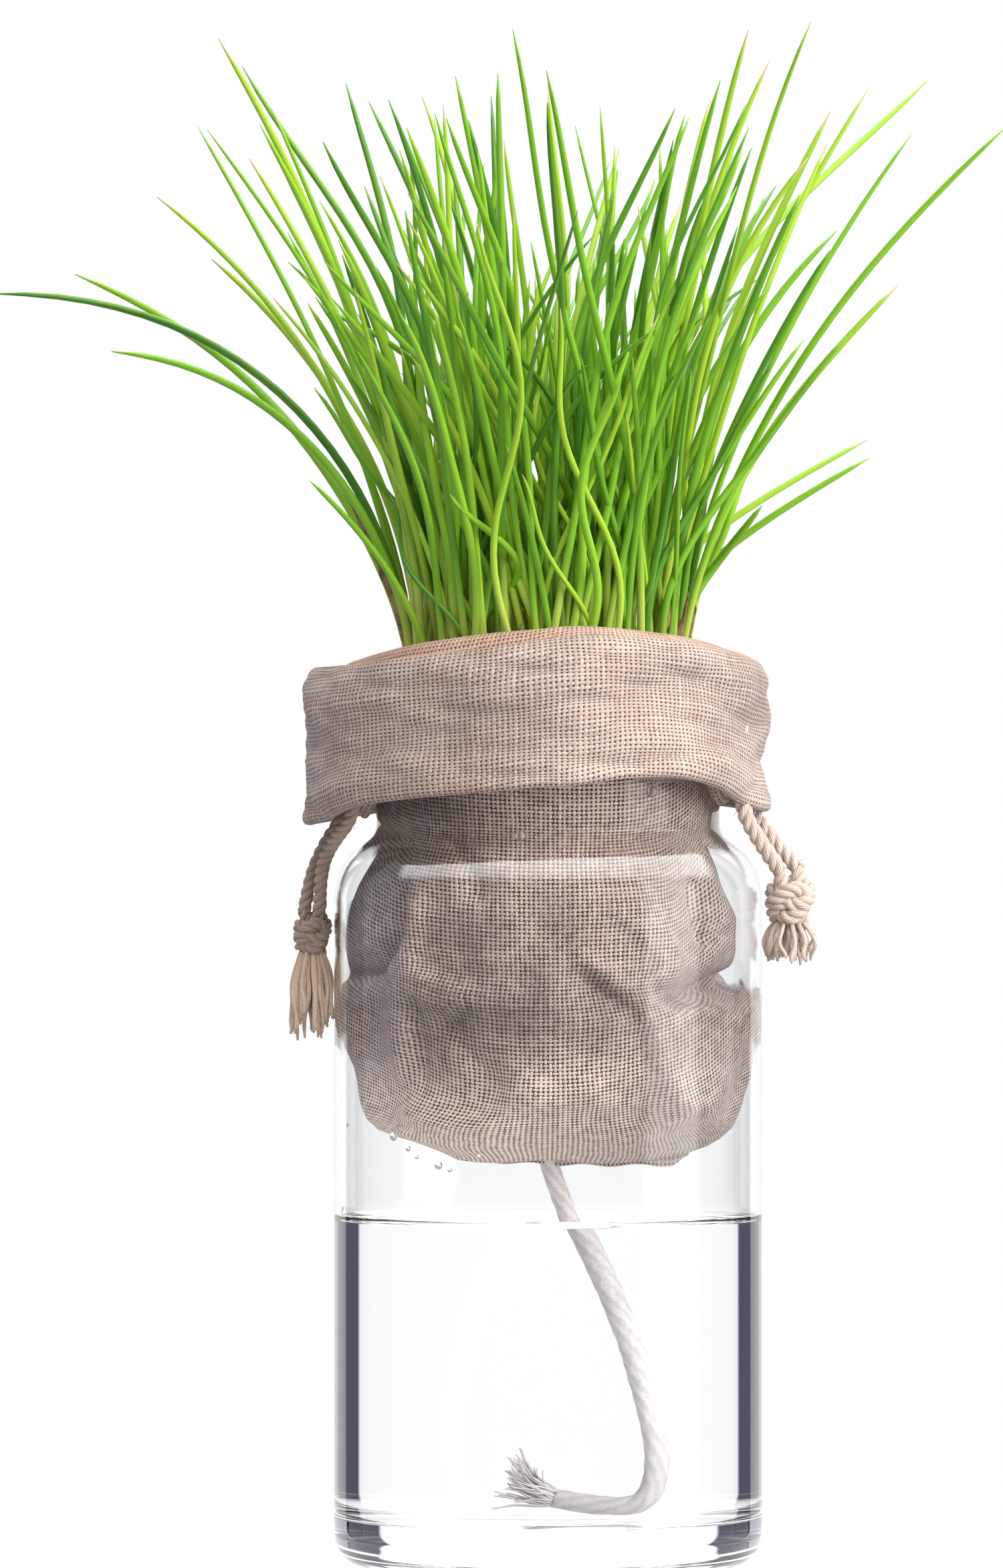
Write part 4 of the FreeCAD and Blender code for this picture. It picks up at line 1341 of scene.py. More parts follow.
@dataclass
class LinenBag:
    """Linen bag: the pouch in the jar, its seam, and the mouth turned down over the rim.

    Sizes are in millimetres. A table gives a value at each height, or at each place across.

    Attributes:
        finishes: The finishes.
        cloth: Thickness of the cloth.
        pouch_rows, pouch_columns: Rings of the pouch, and points of each.
        pouch_top, pouch_low: Heights of its first ring, in the neck, and its last.
        left, right, front, back: Half width or half depth of the pouch there, by height.
        glass: Radius of the glass's inside, by height.
        seam_middle, seam_half, seam_top: The seam's middle, half length and upper edge.
        cuff_columns: Points of each of the cuff's rings.
        cuff_centre, cuff_radius: Place across of the cuff's middle, and its outer radius.
        cuff_thickness: Thickness of the turned-down cloth.
        cuff_inner: Radius of the cloth inside the neck.
        top_front, top_back: Height of the cuff's lip, by place across.
        crest: Height of the fold's highest ring.
        hem_front, hem_back: Height of the hem.
        neck_levels, rim_level: Heights inside the neck, and the one that the collar rises from.
        collar: Steering places from the neck to the lip: share of the way out, share of the
            rise from the rim, and how far the top is the crest's and not the lip's.
        apron: The same from the lip down to the hem and its turn, from the hem's height.
        casing_radius: Distance of the casing's middle from the axis.
        casing_top, casing_low: Heights of its edges.
        soil: Distance from the axis, height and radius of each corner of the soil's outline.
    """

    finishes: Finishes
    cloth: float = 1.0
    pouch_rows: int = 150
    pouch_columns: int = 300
    pouch_top: float = 181.0
    pouch_low: float = 91.2
    left: Table = (
        (181, 36), (164, 36.4), (160, 39), (154.5, 43.2), (145, 45.8), (138.4, 46.2), (133, 45.2),
        (130, 45.8), (127.7, 47), (121, 47), (115.6, 45.6), (111.6, 43.8), (104.2, 42.4),
        (99.5, 41.2), (96.6, 38.6), (94.6, 34), (93.4, 29.5), (92.4, 25), (91.2, 21),
    )
    right: Table = (
        (181, 36), (164, 36.6), (160, 37.6), (154.5, 39.8), (145, 42.6), (134.3, 42.4),
        (129.5, 40.4), (126.5, 43.2), (122.6, 46.8), (115.6, 47), (109.6, 46), (102.2, 43.6),
        (98, 41.4), (95.5, 39.2), (93.2, 36), (91.2, 31),
    )
    front: Table = (
        (181, 36), (164, 36.4), (160, 39.4), (154, 42.8), (145, 44.6), (121, 44.8), (112, 43),
        (104, 39.2), (99, 34), (96, 27.6), (94, 20), (92.4, 9.5), (91.2, 1),
    )
    back: Table = (
        (181, 36), (164, 36.4), (160, 39), (154, 43), (145, 45.6), (121, 46), (110, 43.6),
        (103, 39), (98, 31), (95.5, 24), (93.5, 15.5), (92.2, 8), (91.2, 1),
    )
    glass: Table = (
        (60, 46.7), (141, 46.7), (147.5, 45.6), (152, 43.4), (160, 38.4), (163, 36.9), (166, 36.5),
        (200, 36.5),
    )
    seam_middle: float = 5.0
    seam_half: float = 26.5
    seam_top: float = 93.0
    cuff_columns: int = 320
    cuff_centre: float = -3.0
    cuff_radius: float = 50.4
    cuff_thickness: float = 2.2
    cuff_inner: float = 35.0
    top_front: Table = (
        (-54, 199.2), (-49, 199.3), (-29, 201.2), (-14, 203), (-4, 204.5), (4, 206), (14, 206.1),
        (31, 204.9), (44, 203), (48, 201.4),
    )
    top_back: Table = (
        (-54, 200), (-43, 201.6), (-29, 204.4), (-14, 205.9), (10, 206), (30, 204.4), (48, 201.4),
    )
    crest: Table = (
        (-50, 200.8), (-43, 202.3), (-29, 205.2), (-14.2, 206.7), (4.2, 207.5), (14, 207),
        (31.4, 205.6), (44.7, 203.2),
    )
    hem_front: Table = (
        (-54, 167.4), (-50, 168), (-46, 170.2), (-40, 171.8), (-29, 173.2), (-14, 174.3), (-7, 175),
        (2.7, 175.9), (6.4, 175.2), (10.8, 176.9), (22.6, 177.8), (30, 177.6), (35.8, 176.2),
        (40.3, 174.4), (46, 170.6), (48, 170.4),
    )
    hem_back: Table = (
        (-54, 167.4), (-40, 170.5), (-20, 173), (0, 171.5), (20, 173.8), (40, 172), (48, 170.4),
    )
    neck_levels: tuple[float, ...] = (176.0, 186.0, 196.0)
    rim_level: float = 199.4
    collar: Table = ((0.06, 0.1, 1.0), (0.22, 0.6, 1.0), (0.42, 1.38, 1.0), (0.70, 1.0, -1.5))
    apron: Table = (
        (0.90, 1.02, 0.3), (0.985, 0.96, 0), (1.014, 0.84, 0), (1.012, 0.64, 0), (0.975, 0.44, 0),
        (0.99, 0.2, 0), (1.01, 0.05, 0), (1.005, -0.02, 0), (0.955, -0.03, 0), (0.91, 0.08, 0),
        (0.9, 0.24, 0),
    )
    casing_radius: float = 41.4
    casing_top: float = 181.2
    casing_low: float = 176.9
    soil: Table = (
        (0.3, 110, 0), (16, 110, 8), (29, 126, 12), (29.5, 141, 12), (28, 166, 4), (33.2, 186.6, 1),
        (33.2, 192, 1), (22, 192, 0), (15, 192, 0), (8, 192, 0), (0.3, 192, 0),
    )

    def piece(self, name: str, skin: Skin, node: str, finish: Material) -> bpy.types.Object:
        """A piece of cloth that rides on the bag."""
        return make_piece(name, [skin], [finish], Body.BAG, [node])

    def pouch_points(self) -> Grid:
        """Grid of the pouch, from its top in the neck down to the seam.

        A ring is an ellipse of the half widths at left and right and of the half depth at its
        height. Folds and soft waves then move it along its own radius, and it stays inside the
        glass by a smooth minimum of its radius and the glass's.

        Returns:
            Places in millimetres, (rows, columns, 3).
        """
        share = np.linspace(0.0, 1.0, self.pouch_rows)
        spacing = 0.82 * share + 0.18 * (1 - (1 - share) ** 2.2)
        height = self.pouch_top - (self.pouch_top - self.pouch_low) * spacing
        angle = circle(self.pouch_columns) + math.pi / 2
        z, angle = np.meshgrid(height, angle, indexing="ij")
        wide = np.where(np.cos(angle) < 0, look_up(z, self.left), look_up(z, self.right))
        deep = np.where(np.sin(angle) < 0, look_up(z, self.front), look_up(z, self.back))
        x, y = wide * np.cos(angle), deep * np.sin(angle)
        place = np.stack([x, y, z], -1) * MM
        moved = 1.1 * waves(place * [1.0, 1.0, 0.8], 0.034, 5) + 0.45 * waves(place, 0.013, 6)
        facing = smooth(-y, -4.0, 10.0)
        for fold in FOLDS:
            moved = moved + 1.8 * facing * fold.lift(x, z)
        for fold in FOLDS[:BACK_FOLDS]:
            moved = moved + 1.4 * (1 - facing) * fold.lift(4.0 - x, z + 3.0)
        neck = smooth(z, 160.0, 168.0)
        moved = moved * smooth(z, 91.0, 100.0) * (1 - neck) - 0.6 * (1 - neck)
        moved = moved + neck * 0.5 * waves(place * [1.0, 1.0, 0.15], 0.02, 9)
        radius = np.hypot(x, y)
        wish = np.maximum(radius + moved, 0.6)
        limit = look_up(z, self.glass) - 0.35
        soft = 0.5
        held = limit - soft * np.log1p(np.exp(np.clip((limit - wish) / soft, -40.0, 40.0)))
        kept = np.where(radius > 20.0, np.minimum(wish, held), wish)
        scale = 1.0 + (kept / np.maximum(radius, 1e-6) - 1.0) * smooth(radius, 2.0, 12.0)
        droop = 1.3 * smooth(z, 104.0, 91.0) * waves(place * [1.0, 0.2, 0.0], 0.03, 12)
        return np.stack([x * scale, y * scale, z + droop], -1)

    def make_pouch(self) -> None:
        """The pouch as one cloth, its last ring pressed flat into the seam."""
        points = self.pouch_points()[::-1] * MM
        skin = Skin(points[None], capped=False, uv=cloth_map(points))
        pouch = self.piece("linen_pouch", skin, "bag_pouch", self.finishes.pouch_linen)
        wall = pouch.modifiers.new("cloth", "SOLIDIFY")
        wall.thickness = self.cloth * MM
        wall.offset = -1.0

    def make_seam(self) -> None:
        """Sewn edge under the pouch: a flat strip of two layers that waves along its length."""
        share = np.linspace(-1.0, 1.0, 120)[:, None]
        sway = 0.5 * np.sin(9.0 * share + 0.6) + 0.25 * np.sin(23.0 * share)
        low = 89.6 + 0.8 * smooth(-share, -0.2, 0.9) + 0.3 * np.sin(14.0 * share)
        low = low + 1.9 * smooth(np.abs(share), 0.86, 1.0)
        loop = circle(16)
        thin = 0.85 * np.sign(np.cos(loop)) * np.abs(np.cos(loop)) ** 0.6
        up = low + (self.seam_top - low) * (0.5 + 0.5 * np.sin(loop))
        across = self.seam_middle + self.seam_half * share + 0 * loop
        skin = Skin(np.stack([across, sway + thin, up], -1)[None] * MM)
        self.piece("linen_seam", skin, "bag_bottom_seam", self.finishes.linen)

    def cuff_controls(self) -> Grid:
        """Places that steer the cuff's section at each bearing.

        The lip's, the crest's and the hem's heights come from the tables and are smoothed round
        the jar by a bell-shaped mean.

        Returns:
            Places in millimetres, (steering places, columns, 3).
        """
        count = self.cuff_columns
        angle = circle(count)
        x = self.cuff_centre + self.cuff_radius * np.cos(angle)
        before = np.sin(angle) < 0
        crest_x = 0.6 * self.cuff_centre + 42.7 * np.cos(angle)
        levels = [
            np.where(before, look_up(x, self.top_front), look_up(x, self.top_back)),
            np.where(before, look_up(x, self.hem_front), look_up(x, self.hem_back)),
            look_up(crest_x, self.crest),
        ]
        kernel = np.hanning(21)
        kernel /= kernel.sum()
        top, hem, crest = (
            np.convolve(np.tile(level, 3), kernel, "same")[count : 2 * count] for level in levels
        )
        radius = self.cuff_radius + 0.45 * np.sin(angle * 2 + 0.6) + 0.35 * np.sin(angle * 5 + 1.0)
        inner = self.cuff_inner + 0.25 * np.sin(angle * 7)
        rings = [(0.0, inner, level) for level in self.neck_levels]
        for low, rows in ((self.rim_level, self.collar), (hem, self.apron)):
            for share, rise, crested in rows:
                high = top + crested * (crest - top)
                centre = self.cuff_centre * min(1.0, share * 1.2)
                rings.append((centre, inner + (radius - inner) * share, low + (high - low) * rise))
        return np.stack([placed(reach, angle, up) + [centre, 0, 0] for centre, reach, up in rings])

    def cuff_points(self) -> Grid:
        """Grid of the turned-down mouth.

        Its section runs up inside the neck, over the rim, out and up to the fold and down the
        outside to the hem, which turns in. It is a smooth curve with the cloth's thickness to
        each side and a half circle at each end, and soft creases move its outside.

        Returns:
            Places in millimetres, (columns round the section, rows round the jar, 3).
        """
        line = self.spline(self.cuff_controls(), 96)
        wide = line * MM * [0.35, 0.35, 1.6]
        fine = line * MM * [0.6, 0.6, 1.6]
        crease = 0.9 * waves(wide, 0.021, 21) + 0.45 * waves(fine, 0.009, 22)
        outside = smooth(np.hypot(line[..., 0], line[..., 1]), 42.0, 47.0)
        line = line + unit(line * [1.0, 1.0, 0.0]) * (crease * outside)[..., None]
        along = unit(np.gradient(line, axis=0))
        around = unit(np.roll(line, -1, 1) - np.roll(line, 1, 1))
        normal = unit(np.cross(around, along))
        half = self.cuff_thickness / 2
        turn = np.linspace(0.0, math.pi, 7)[1:-1, None, None]
        hem_end = line[-1] + half * (np.cos(turn) * normal[-1] + np.sin(turn) * along[-1])
        neck_end = line[0] - half * (np.cos(turn) * normal[0] + np.sin(turn) * along[0])
        outer, back = line + normal * half, line - normal * half
        return np.concatenate([outer, hem_end, back[::-1], neck_end])

    def spline(self, controls: Grid, count: int) -> Grid:
        """Uniform cubic curve steered by places: the mean of four neighbours, by cubic weights.

        Args:
            controls: Places, (places, columns, 3), the first and last held by repeats.
            count: Points along the curve.

        Returns:
            Points, (count, columns, 3).
        """
        held = np.concatenate([controls[:1], controls[:1], controls, controls[-1:], controls[-1:]])
        share = np.linspace(0.0, len(held) - 3 - 1e-6, count)
        cell = share.astype(int)
        t = (share - cell)[:, None, None]
        cubes = (1 - t) ** 3, 3 * t**3 - 6 * t**2 + 4, -3 * t**3 + 3 * t**2 + 3 * t + 1, t**3
        return sum(cube / 6 * held[cell + step] for step, cube in enumerate(cubes))

    def make_cuff(self) -> None:
        """The turned-down mouth as one closed roll of cloth."""
        points = self.cuff_points().transpose(1, 0, 2)[None] * MM
        skin = Skin(np.ascontiguousarray(points[:, ::-1]), looped=True, capped=False)
        skin.uv = np.ascontiguousarray(skin.map()[..., ::-1])
        cuff = self.piece("linen_cuff", skin, "bag_cuff", self.finishes.linen)

    def make_casing(self) -> None:
        """Hem channel for the cords under the cuff: a gathered ring, lower at both sides."""
        loop = circle(28)
        angle = circle(300)[:, None]
        gather = 0.45 * np.sin(31 * angle) + 0.35 * np.sin(17 * angle + 1.0)
        across = self.casing_radius + (2.3 + 0.25 * gather) * np.cos(loop)
        across = across + 0.5 * np.sin(9 * angle + 2.0) * (np.sin(loop) < 0)
        x, front = np.cos(angle), np.sin(angle) < 0
        drop = 9.5 * smooth(-x, 0.86, 0.985) * np.where(front, 1.0, 0.8)
        drop = drop + 6.5 * smooth(x, 0.84, 0.93) * smooth(-x, -1.02, -0.95)
        low, high = self.casing_low - drop, self.casing_top
        up = (low + high) / 2 + ((high - low) / 2 + 0.3 * gather) * np.sin(loop)
        skin = Skin(placed(across, angle, up)[None, ::-1] * MM, looped=True, capped=False)
        self.piece("linen_casing", skin, "drawstring_casing", self.finishes.linen)

    def make_soil(self) -> None:
        """Moist coir and soil: crumbly on top, and inside the cloth below."""
        outline = rounded_line(self.soil, 5)
        rows, fine = np.linspace(0, 1, len(outline)), np.linspace(0, 1, 90)
        outline = np.stack([np.interp(fine, rows, outline[:, k]) for k in (0, 1)], -1)
        points = lathe(outline, 150) * MM
        top = smooth(points[..., 2], 0.188, 0.1915)
        crumbs = 0.9 * waves(points, 0.006, 31) + 0.6 * waves(points, 0.003, 32)
        points[..., 2] += MM * top * (crumbs - 0.9)
        soil, node = [self.finishes.coir], "growing_medium"
        make_piece("coir_mix", [Skin(points)], soil, Body.BAG, [node])

    def make(self) -> None:
        """Builds the bag's pieces."""
        self.make_cuff()
        self.make_pouch()
        self.make_seam()
        self.make_casing()
        self.make_soil()


def twisted_cord(
    path: Grid, radius: float, pitch: float, reference: Sequence[float] = (0.0, 1.0, 0.0),
    plies: int = 3, sides: int = 14, slack: float = 0.04,
) -> Skin:
    """Laid cord: each ply's line winds round the path, and its tube has the ply's radius.

    Args:
        path: Places along the cord, (rows, 3).
        radius: Radius of the whole cord.
        pitch: Length in which a ply goes once round.
        reference: Direction that the path never runs along.
        plies: Number of plies.
        sides: Points of each ring of a ply.
        slack: Share by which the plies' thickness varies.

    Returns:
        The cord's skin, one surface for each ply.
    """
    length = lengths(path)
    turn = (FULL_TURN * length / pitch + FULL_TURN * np.arange(plies)[:, None] / plies)[..., None]
    sideways, upward = frames(path, reference)
    ply = 0.47 * radius
    lines = path + 0.98 * (radius - ply) * (np.cos(turn) * sideways + np.sin(turn) * upward)
    size = ply * (1 + slack * waves(lines, 0.006, 41))
    uv = paired(np.linspace(0.0, 1.0, sides + 1), length[:, None] + 0 * turn)
    return Skin(tubes(lines, size, sides, reference), uv=uv)


def stray_fibres(
    path: Grid, radius: float, count: int, length: float, seed: int, thickness: float = 0.035
) -> Skin:
    """Loose fibres that stand off a cord: each starts on its surface and curls away.

    Args:
        path: Places along the cord.
        radius: Radius of the cord.
        count: Number of fibres.
        length: Mean length of a fibre.
        seed: Seed of their places.
        thickness: Radius of a fibre in millimetres.

    Returns:
        The fibres' skin.
    """
    chance = np.random.default_rng(seed)
    where = chance.integers(2, len(path) - 2, count)
    out = unit(chance.normal(size=(count, 3)))
    heading = unit(np.gradient(path, axis=0))[where]
    out = unit(out - heading * (out * heading).sum(-1, keepdims=True))
    forth = chance.choice([-1.0, 1.0], (count, 1))
    lean = unit(out * 0.8 + heading * forth * chance.uniform(0.3, 1.2, (count, 1)))
    bend = unit(np.cross(out, heading)) * chance.uniform(-1.0, 1.0, (count, 1))
    share = np.linspace(0.0, 1.0, 5)[None, :, None]
    size = (length * chance.uniform(0.4, 1.5, count))[:, None, None]
    start = path[where] + out * radius * 0.85
    lines = start[:, None] + size * (share * lean[:, None] + 0.5 * share**2 * bend[:, None])
    slim = thickness * MM * (1.0 - 0.6 * share[..., 0])
    return Skin(tubes(lines, slim, 3, (0.31, 0.52, 0.79)), tint=chance.uniform(size=count))


@dataclass
class Wick:
    """White braided wick and its brushed-out end.

    Attributes:
        finishes: The finishes.
        radius: Radius of the rope.
        stitch: Length in which the braid's plaits alternate.
        rows, sides: Rings along it, and points of each ring.
        water: Height under which the rope is wet.
        brush, fan: Length of the frayed end, and the radius that it spreads to.
        filaments, tufts: Number of its filaments, and the ways in which its tufts curl.
        floor: Least height of a filament, just over the jar's floor.
    """

    finishes: Finishes
    radius: float = 2.25 * MM
    stitch: float = 1.9 * MM
    rows: int = 420
    sides: int = 40
    water: float = 77.0 * MM
    brush: float = 12.0 * MM
    fan: float = 4.2 * MM
    filaments: int = 110
    tufts: Table = (
        (0.0, -0.5, 0.9), (0.0, 0.5, 0.6), (0.3, -0.2, 1.3), (0.1, 0.8, 0.2),
        (0.5, 0.1, 1.5), (0.0, -0.9, 0.2), (0.2, 0.2, 1.0),
    )
    floor: float = 12.1 * MM

    def make(self) -> None:
        path = route_line("wick_rope", self.rows)
        length = line_length(path)
        brush = self.make_brush(path)
        along = np.linspace(0.0, length, self.rows)[:, None]
        angle = circle(self.sides)[None]
        braid = np.cos(5 * angle) * np.cos(math.pi * along / self.stitch)
        points = tubes(path[None], self.radius, self.sides)
        axis = path[None, :, None, :]
        relief = 0.95 + 0.02 * braid[None, ..., None] + 0.02 * waves(points, 0.003, 51)[..., None]
        points = axis + (points - axis) * relief
        wet = (path[1:, 2] < self.water).astype(int)
        rope = Skin(points, uv=yarn_map(path[None], self.sides), zones=wet)
        fuzz = stray_fibres(path, self.radius, 500, 1.0 * MM, 52, 0.022)
        fuzz.zones = np.ones(fuzz.points.shape[1] - 1, int)
        yarns = [self.finishes.wick, self.finishes.wet_wick]
        make_piece("braided_wick", [rope, fuzz], yarns, Body.BAG, ["wick_rope"])

    def make_brush(self, path: Grid) -> bpy.types.Object:
        """Filaments that leave the rope's end side by side, fan out and curl upwards.

        Args:
            path: The rope's path, up to the end that the brush leaves.

        Returns:
            The brush.
        """
        chance = np.random.default_rng(53)
        count = self.filaments
        heading = unit(path[-1] - path[-5])
        sideways = unit(np.cross([0.0, 1.0, 0.0], heading))
        upward = np.cross(heading, sideways)
        turn = chance.uniform(0.0, FULL_TURN, count)[:, None]
        spread = np.sqrt(chance.uniform(0.0, 1.0, count))[:, None]
        spot = spread * (np.cos(turn) * sideways + np.sin(turn) * upward)
        share = np.linspace(0.0, 1.0, 12)[None, :, None]
        size = (self.brush * chance.uniform(0.55, 1.0, count))[:, None, None]
        start = path[-1] - heading * 1.0 * MM + spot * self.radius * 0.8
        lean = np.array(self.tufts)[chance.integers(0, len(self.tufts), count)]
        curl = lean * MM * 3.4 + chance.normal(size=(count, 3)) * 0.8 * MM
        wave = 0.5 * MM * np.sin(7.0 * share + turn[..., None]) * share * [0.3, 0.6, 0.7]
        fanned = (spot * (self.fan - self.radius * 0.8))[:, None] * share
        lines = start[:, None] + heading * share * size * 0.85 + fanned
        lines = lines + curl[:, None] * share**2 + wave
        lines[..., 2] = np.maximum(lines[..., 2], self.floor)
        slim = 0.21 * MM * (1.0 - 0.45 * share[..., 0]) * chance.uniform(0.7, 1.3, (count, 1))
        skin = Skin(tubes(lines, slim, 5, (0.2, 0.9, 0.3)), uv=yarn_map(lines, 5))
        yarns, node = [self.finishes.wick], "wick_frayed_end"
        return make_piece("wick_brush", [skin], yarns, Body.BAG, [node])


@dataclass
class Drawstring:
    """One drawstring: its hidden loop in the casing, two strands, the knot and the tassel.

    Attributes:
        yarn, frayed: Finishes of the cord and of the tassel.
        side: left or right, as in the nodes' names.
        body, slot: Body that the strands ride on; slot is not used.
        radius, lay: Radius of the cord, and length in which a ply goes once round.
        run: Radius and height of the hidden loop.
        knot_size: Radius and length of the knot.
        knot_seat: Depth of the knot's top under the strands' ends.
        tassel_size: Root radius, spread and length of the tassel.
        yarns, tufts: Number of yarns in the tassel, and of tufts that they gather in.
        seed: Seed of its random places.
        hidden_radius: Radius of the hidden loop, which the casing presses thin.
    """

    yarn: Material
    frayed: Material
    side: str
    body: Body
    slot: Slot
    radius: float
    lay: float
    run: Pair
    knot_size: Pair
    knot_seat: float
    tassel_size: Triple
    yarns: int
    seed: int
    hidden_radius: float = 1.1 * MM
    tufts: int = 15

    def strand_end(self, where: str) -> Grid:
        """Loose end of the strand at the back or the front."""
        return route_points(f"{self.side}_strand_{where}")[-1]

    def make_run(self) -> None:
        """Hidden loop round the casing, open at its own side."""
        middle = math.pi if self.side == "left" else 0.0
        angle = middle + np.linspace(math.radians(5.0), math.radians(355.0), 420)
        reach, level = self.run
        path = placed(reach, angle, level)
        skin = twisted_cord(path, self.hidden_radius, self.lay, (0.0, 0.0, 1.0), sides=8)
        name, node = f"{self.side}_cord_loop", f"{self.side}_cord_run"
        make_piece(name, [skin], [self.yarn], Body.BAG, [node])

    def knot_top(self) -> Grid:
        """Top of the knot: the mean of the strands' ends, less its seat."""
        ends = [self.strand_end("back"), self.strand_end("front")]
        return np.mean(ends, 0) - [0.0, 0.0, self.knot_seat]

    def make_knot(self) -> bpy.types.Object:
        """Overhand knot: both strands follow a trefoil, two turns about the axis for three waves.

        Returns:
            The knot.
        """
        reach, tall = self.knot_size
        top = self.knot_top()
        cord = self.radius * 0.98
        turn = np.linspace(0.0, FULL_TURN, 260)
        ring = reach - cord * 1.15
        skins = []
        for place in (-0.5, 0.5):
            shift = cord * 1.5 * place
            across = ring * (1.0 - 0.30 * (0.5 - 0.5 * np.cos(3 * turn + 0.4))) + 0.25 * shift
            z = -tall / 2 + (tall / 2 - cord) * 0.62 * np.sin(3 * turn + 0.34) + shift
            z = z + 0.12 * tall * np.sin(turn + 1.0)
            path = placed(across, 2 * turn + 0.5 * place, z) + top
            skins.append(twisted_cord(path, cord, self.lay * 0.9, (0.13, 0.21, 0.97), sides=10))
        for place, where in ((-0.5, "back"), (0.5, "front")):
            start = self.strand_end(where) + [0.0, 0.0, 0.1 * MM]
            stop = top + [-place * cord * 1.2, 0.0, -tall + 0.2 * MM]
            path = start + (stop - start) * np.linspace(0.0, 1.0, 40)[:, None]
            skins.append(twisted_cord(path, self.radius * 0.96, self.lay, sides=8))
        axis = top + np.linspace(0.0, 1.0, 30)[:, None] * [0.0, 0.0, -tall]
        skins.append(stray_fibres(axis, reach * 0.8, 90, 1.4 * MM, self.seed + 1, 0.03))
        name, node = f"{self.side}_tied_knot", f"{self.side}_knot"
        return make_piece(name, skins, [self.yarn], self.body, [node])

    def make_tassel(self) -> bpy.types.Object:
        """Frayed yarns that leave the knot together, belly out and part into tufts.

        Returns:
            The tassel.
        """
        chance = np.random.default_rng(self.seed)
        root, spread, tall = self.tassel_size
        count, tufts = self.yarns, self.tufts
        top = self.knot_top() - [0.0, 0.0, self.knot_size[1] - 1.2 * MM]
        turn = chance.uniform(0.0, FULL_TURN, count)
        ring = np.sqrt(chance.uniform(0.0, 1.0, count))[:, None]
        tuft = (turn / FULL_TURN * tufts).astype(int)
        tuft_turn = (tuft + 0.5) / tufts * FULL_TURN + chance.normal(size=tufts)[tuft] * 0.2
        tuft_size = chance.uniform(0.78, 1.04, tufts)[tuft]
        share = np.linspace(0.0, 1.0, 26)[None, :]
        swell = np.sin(math.pi * np.minimum(share * 0.75 + 0.08, 1.0))
        gather = smooth(share, 0.5, 1.0)
        bearing = turn[:, None] + 0.7 * gather * (tuft_turn - turn)[:, None]
        reach = root * ring * (0.55 + 0.9 * swell) * (1 - gather)
        reach = reach + gather * spread * (0.35 + 0.65 * ring)
        phase = chance.uniform(0.0, FULL_TURN, (2, count, 1))
        ripple = 0.42 * MM * share * np.sin(8.0 * share + phase)
        drop = (tall + 1.0 * MM) * tuft_size * chance.uniform(0.86, 1.0, count)
        x, y = reach * np.cos(bearing) + ripple[0], reach * np.sin(bearing) + ripple[1]
        lines = np.stack([x, y, -drop[:, None] * share], -1) + top
        slim = (0.42 + 0.16 * chance.uniform(size=(count, 1))) * MM
        slim = slim * (1.0 - 0.45 * smooth(share, 0.86, 1.0))
        skin = Skin(tubes(lines, slim, 8, (0.3, 0.9, 0.1)), uv=yarn_map(lines, 8))
        axis = top + np.linspace(0.3, 1.0, 20)[:, None] * [0.0, 0.0, -tall]
        fuzz = stray_fibres(axis, spread * 0.8, 70, 1.8 * MM, self.seed + 2, 0.03)
        name, node = f"{self.side}_frayed_tassel", f"{self.side}_tassel"
        return make_piece(name, [skin, fuzz], [self.frayed], self.body, [node])

    def make(self) -> None:
        """Builds the strands, the knot and the tassel."""
        self.make_run()
        knot = self.make_knot()
        tassel = self.make_tassel()
        for where in ("back", "front"):
            node = f"{self.side}_strand_{where}"
            path = route_line(node, 150)
            skins = [
                twisted_cord(path, self.radius, self.lay),
                stray_fibres(path, self.radius, 110, 1.2 * MM, self.seed + 3, 0.03),
            ]
            name = f"{self.side}_cord_{where}"
            make_piece(name, skins, [self.yarn], self.body, [node])


@dataclass
class Leaf:
    """How one leaf grows.

    Attributes:
        bed, angle: Distance of its foot from the clump's axis, and its bearing.
        swirl: Turn about the axis over its height, in radians.
        lean, rise: How far its tip leans outward, and its height before it droops.
        droop: Share of the height that the tip loses.
        curve: Power of the lean along the leaf.
        size: Radius of the leaf.
        stray, sway: Sideways place of its tip, and size of a soft bend to both sides.
        tint: Shade, from 0, deep, to 1, lime.
    """

    bed: float
    angle: float
    swirl: float
    lean: float
    rise: float
    droop: float
    curve: float
    size: float
    stray: float = 0.0
    sway: float = 0.0
    tint: float = 0.5


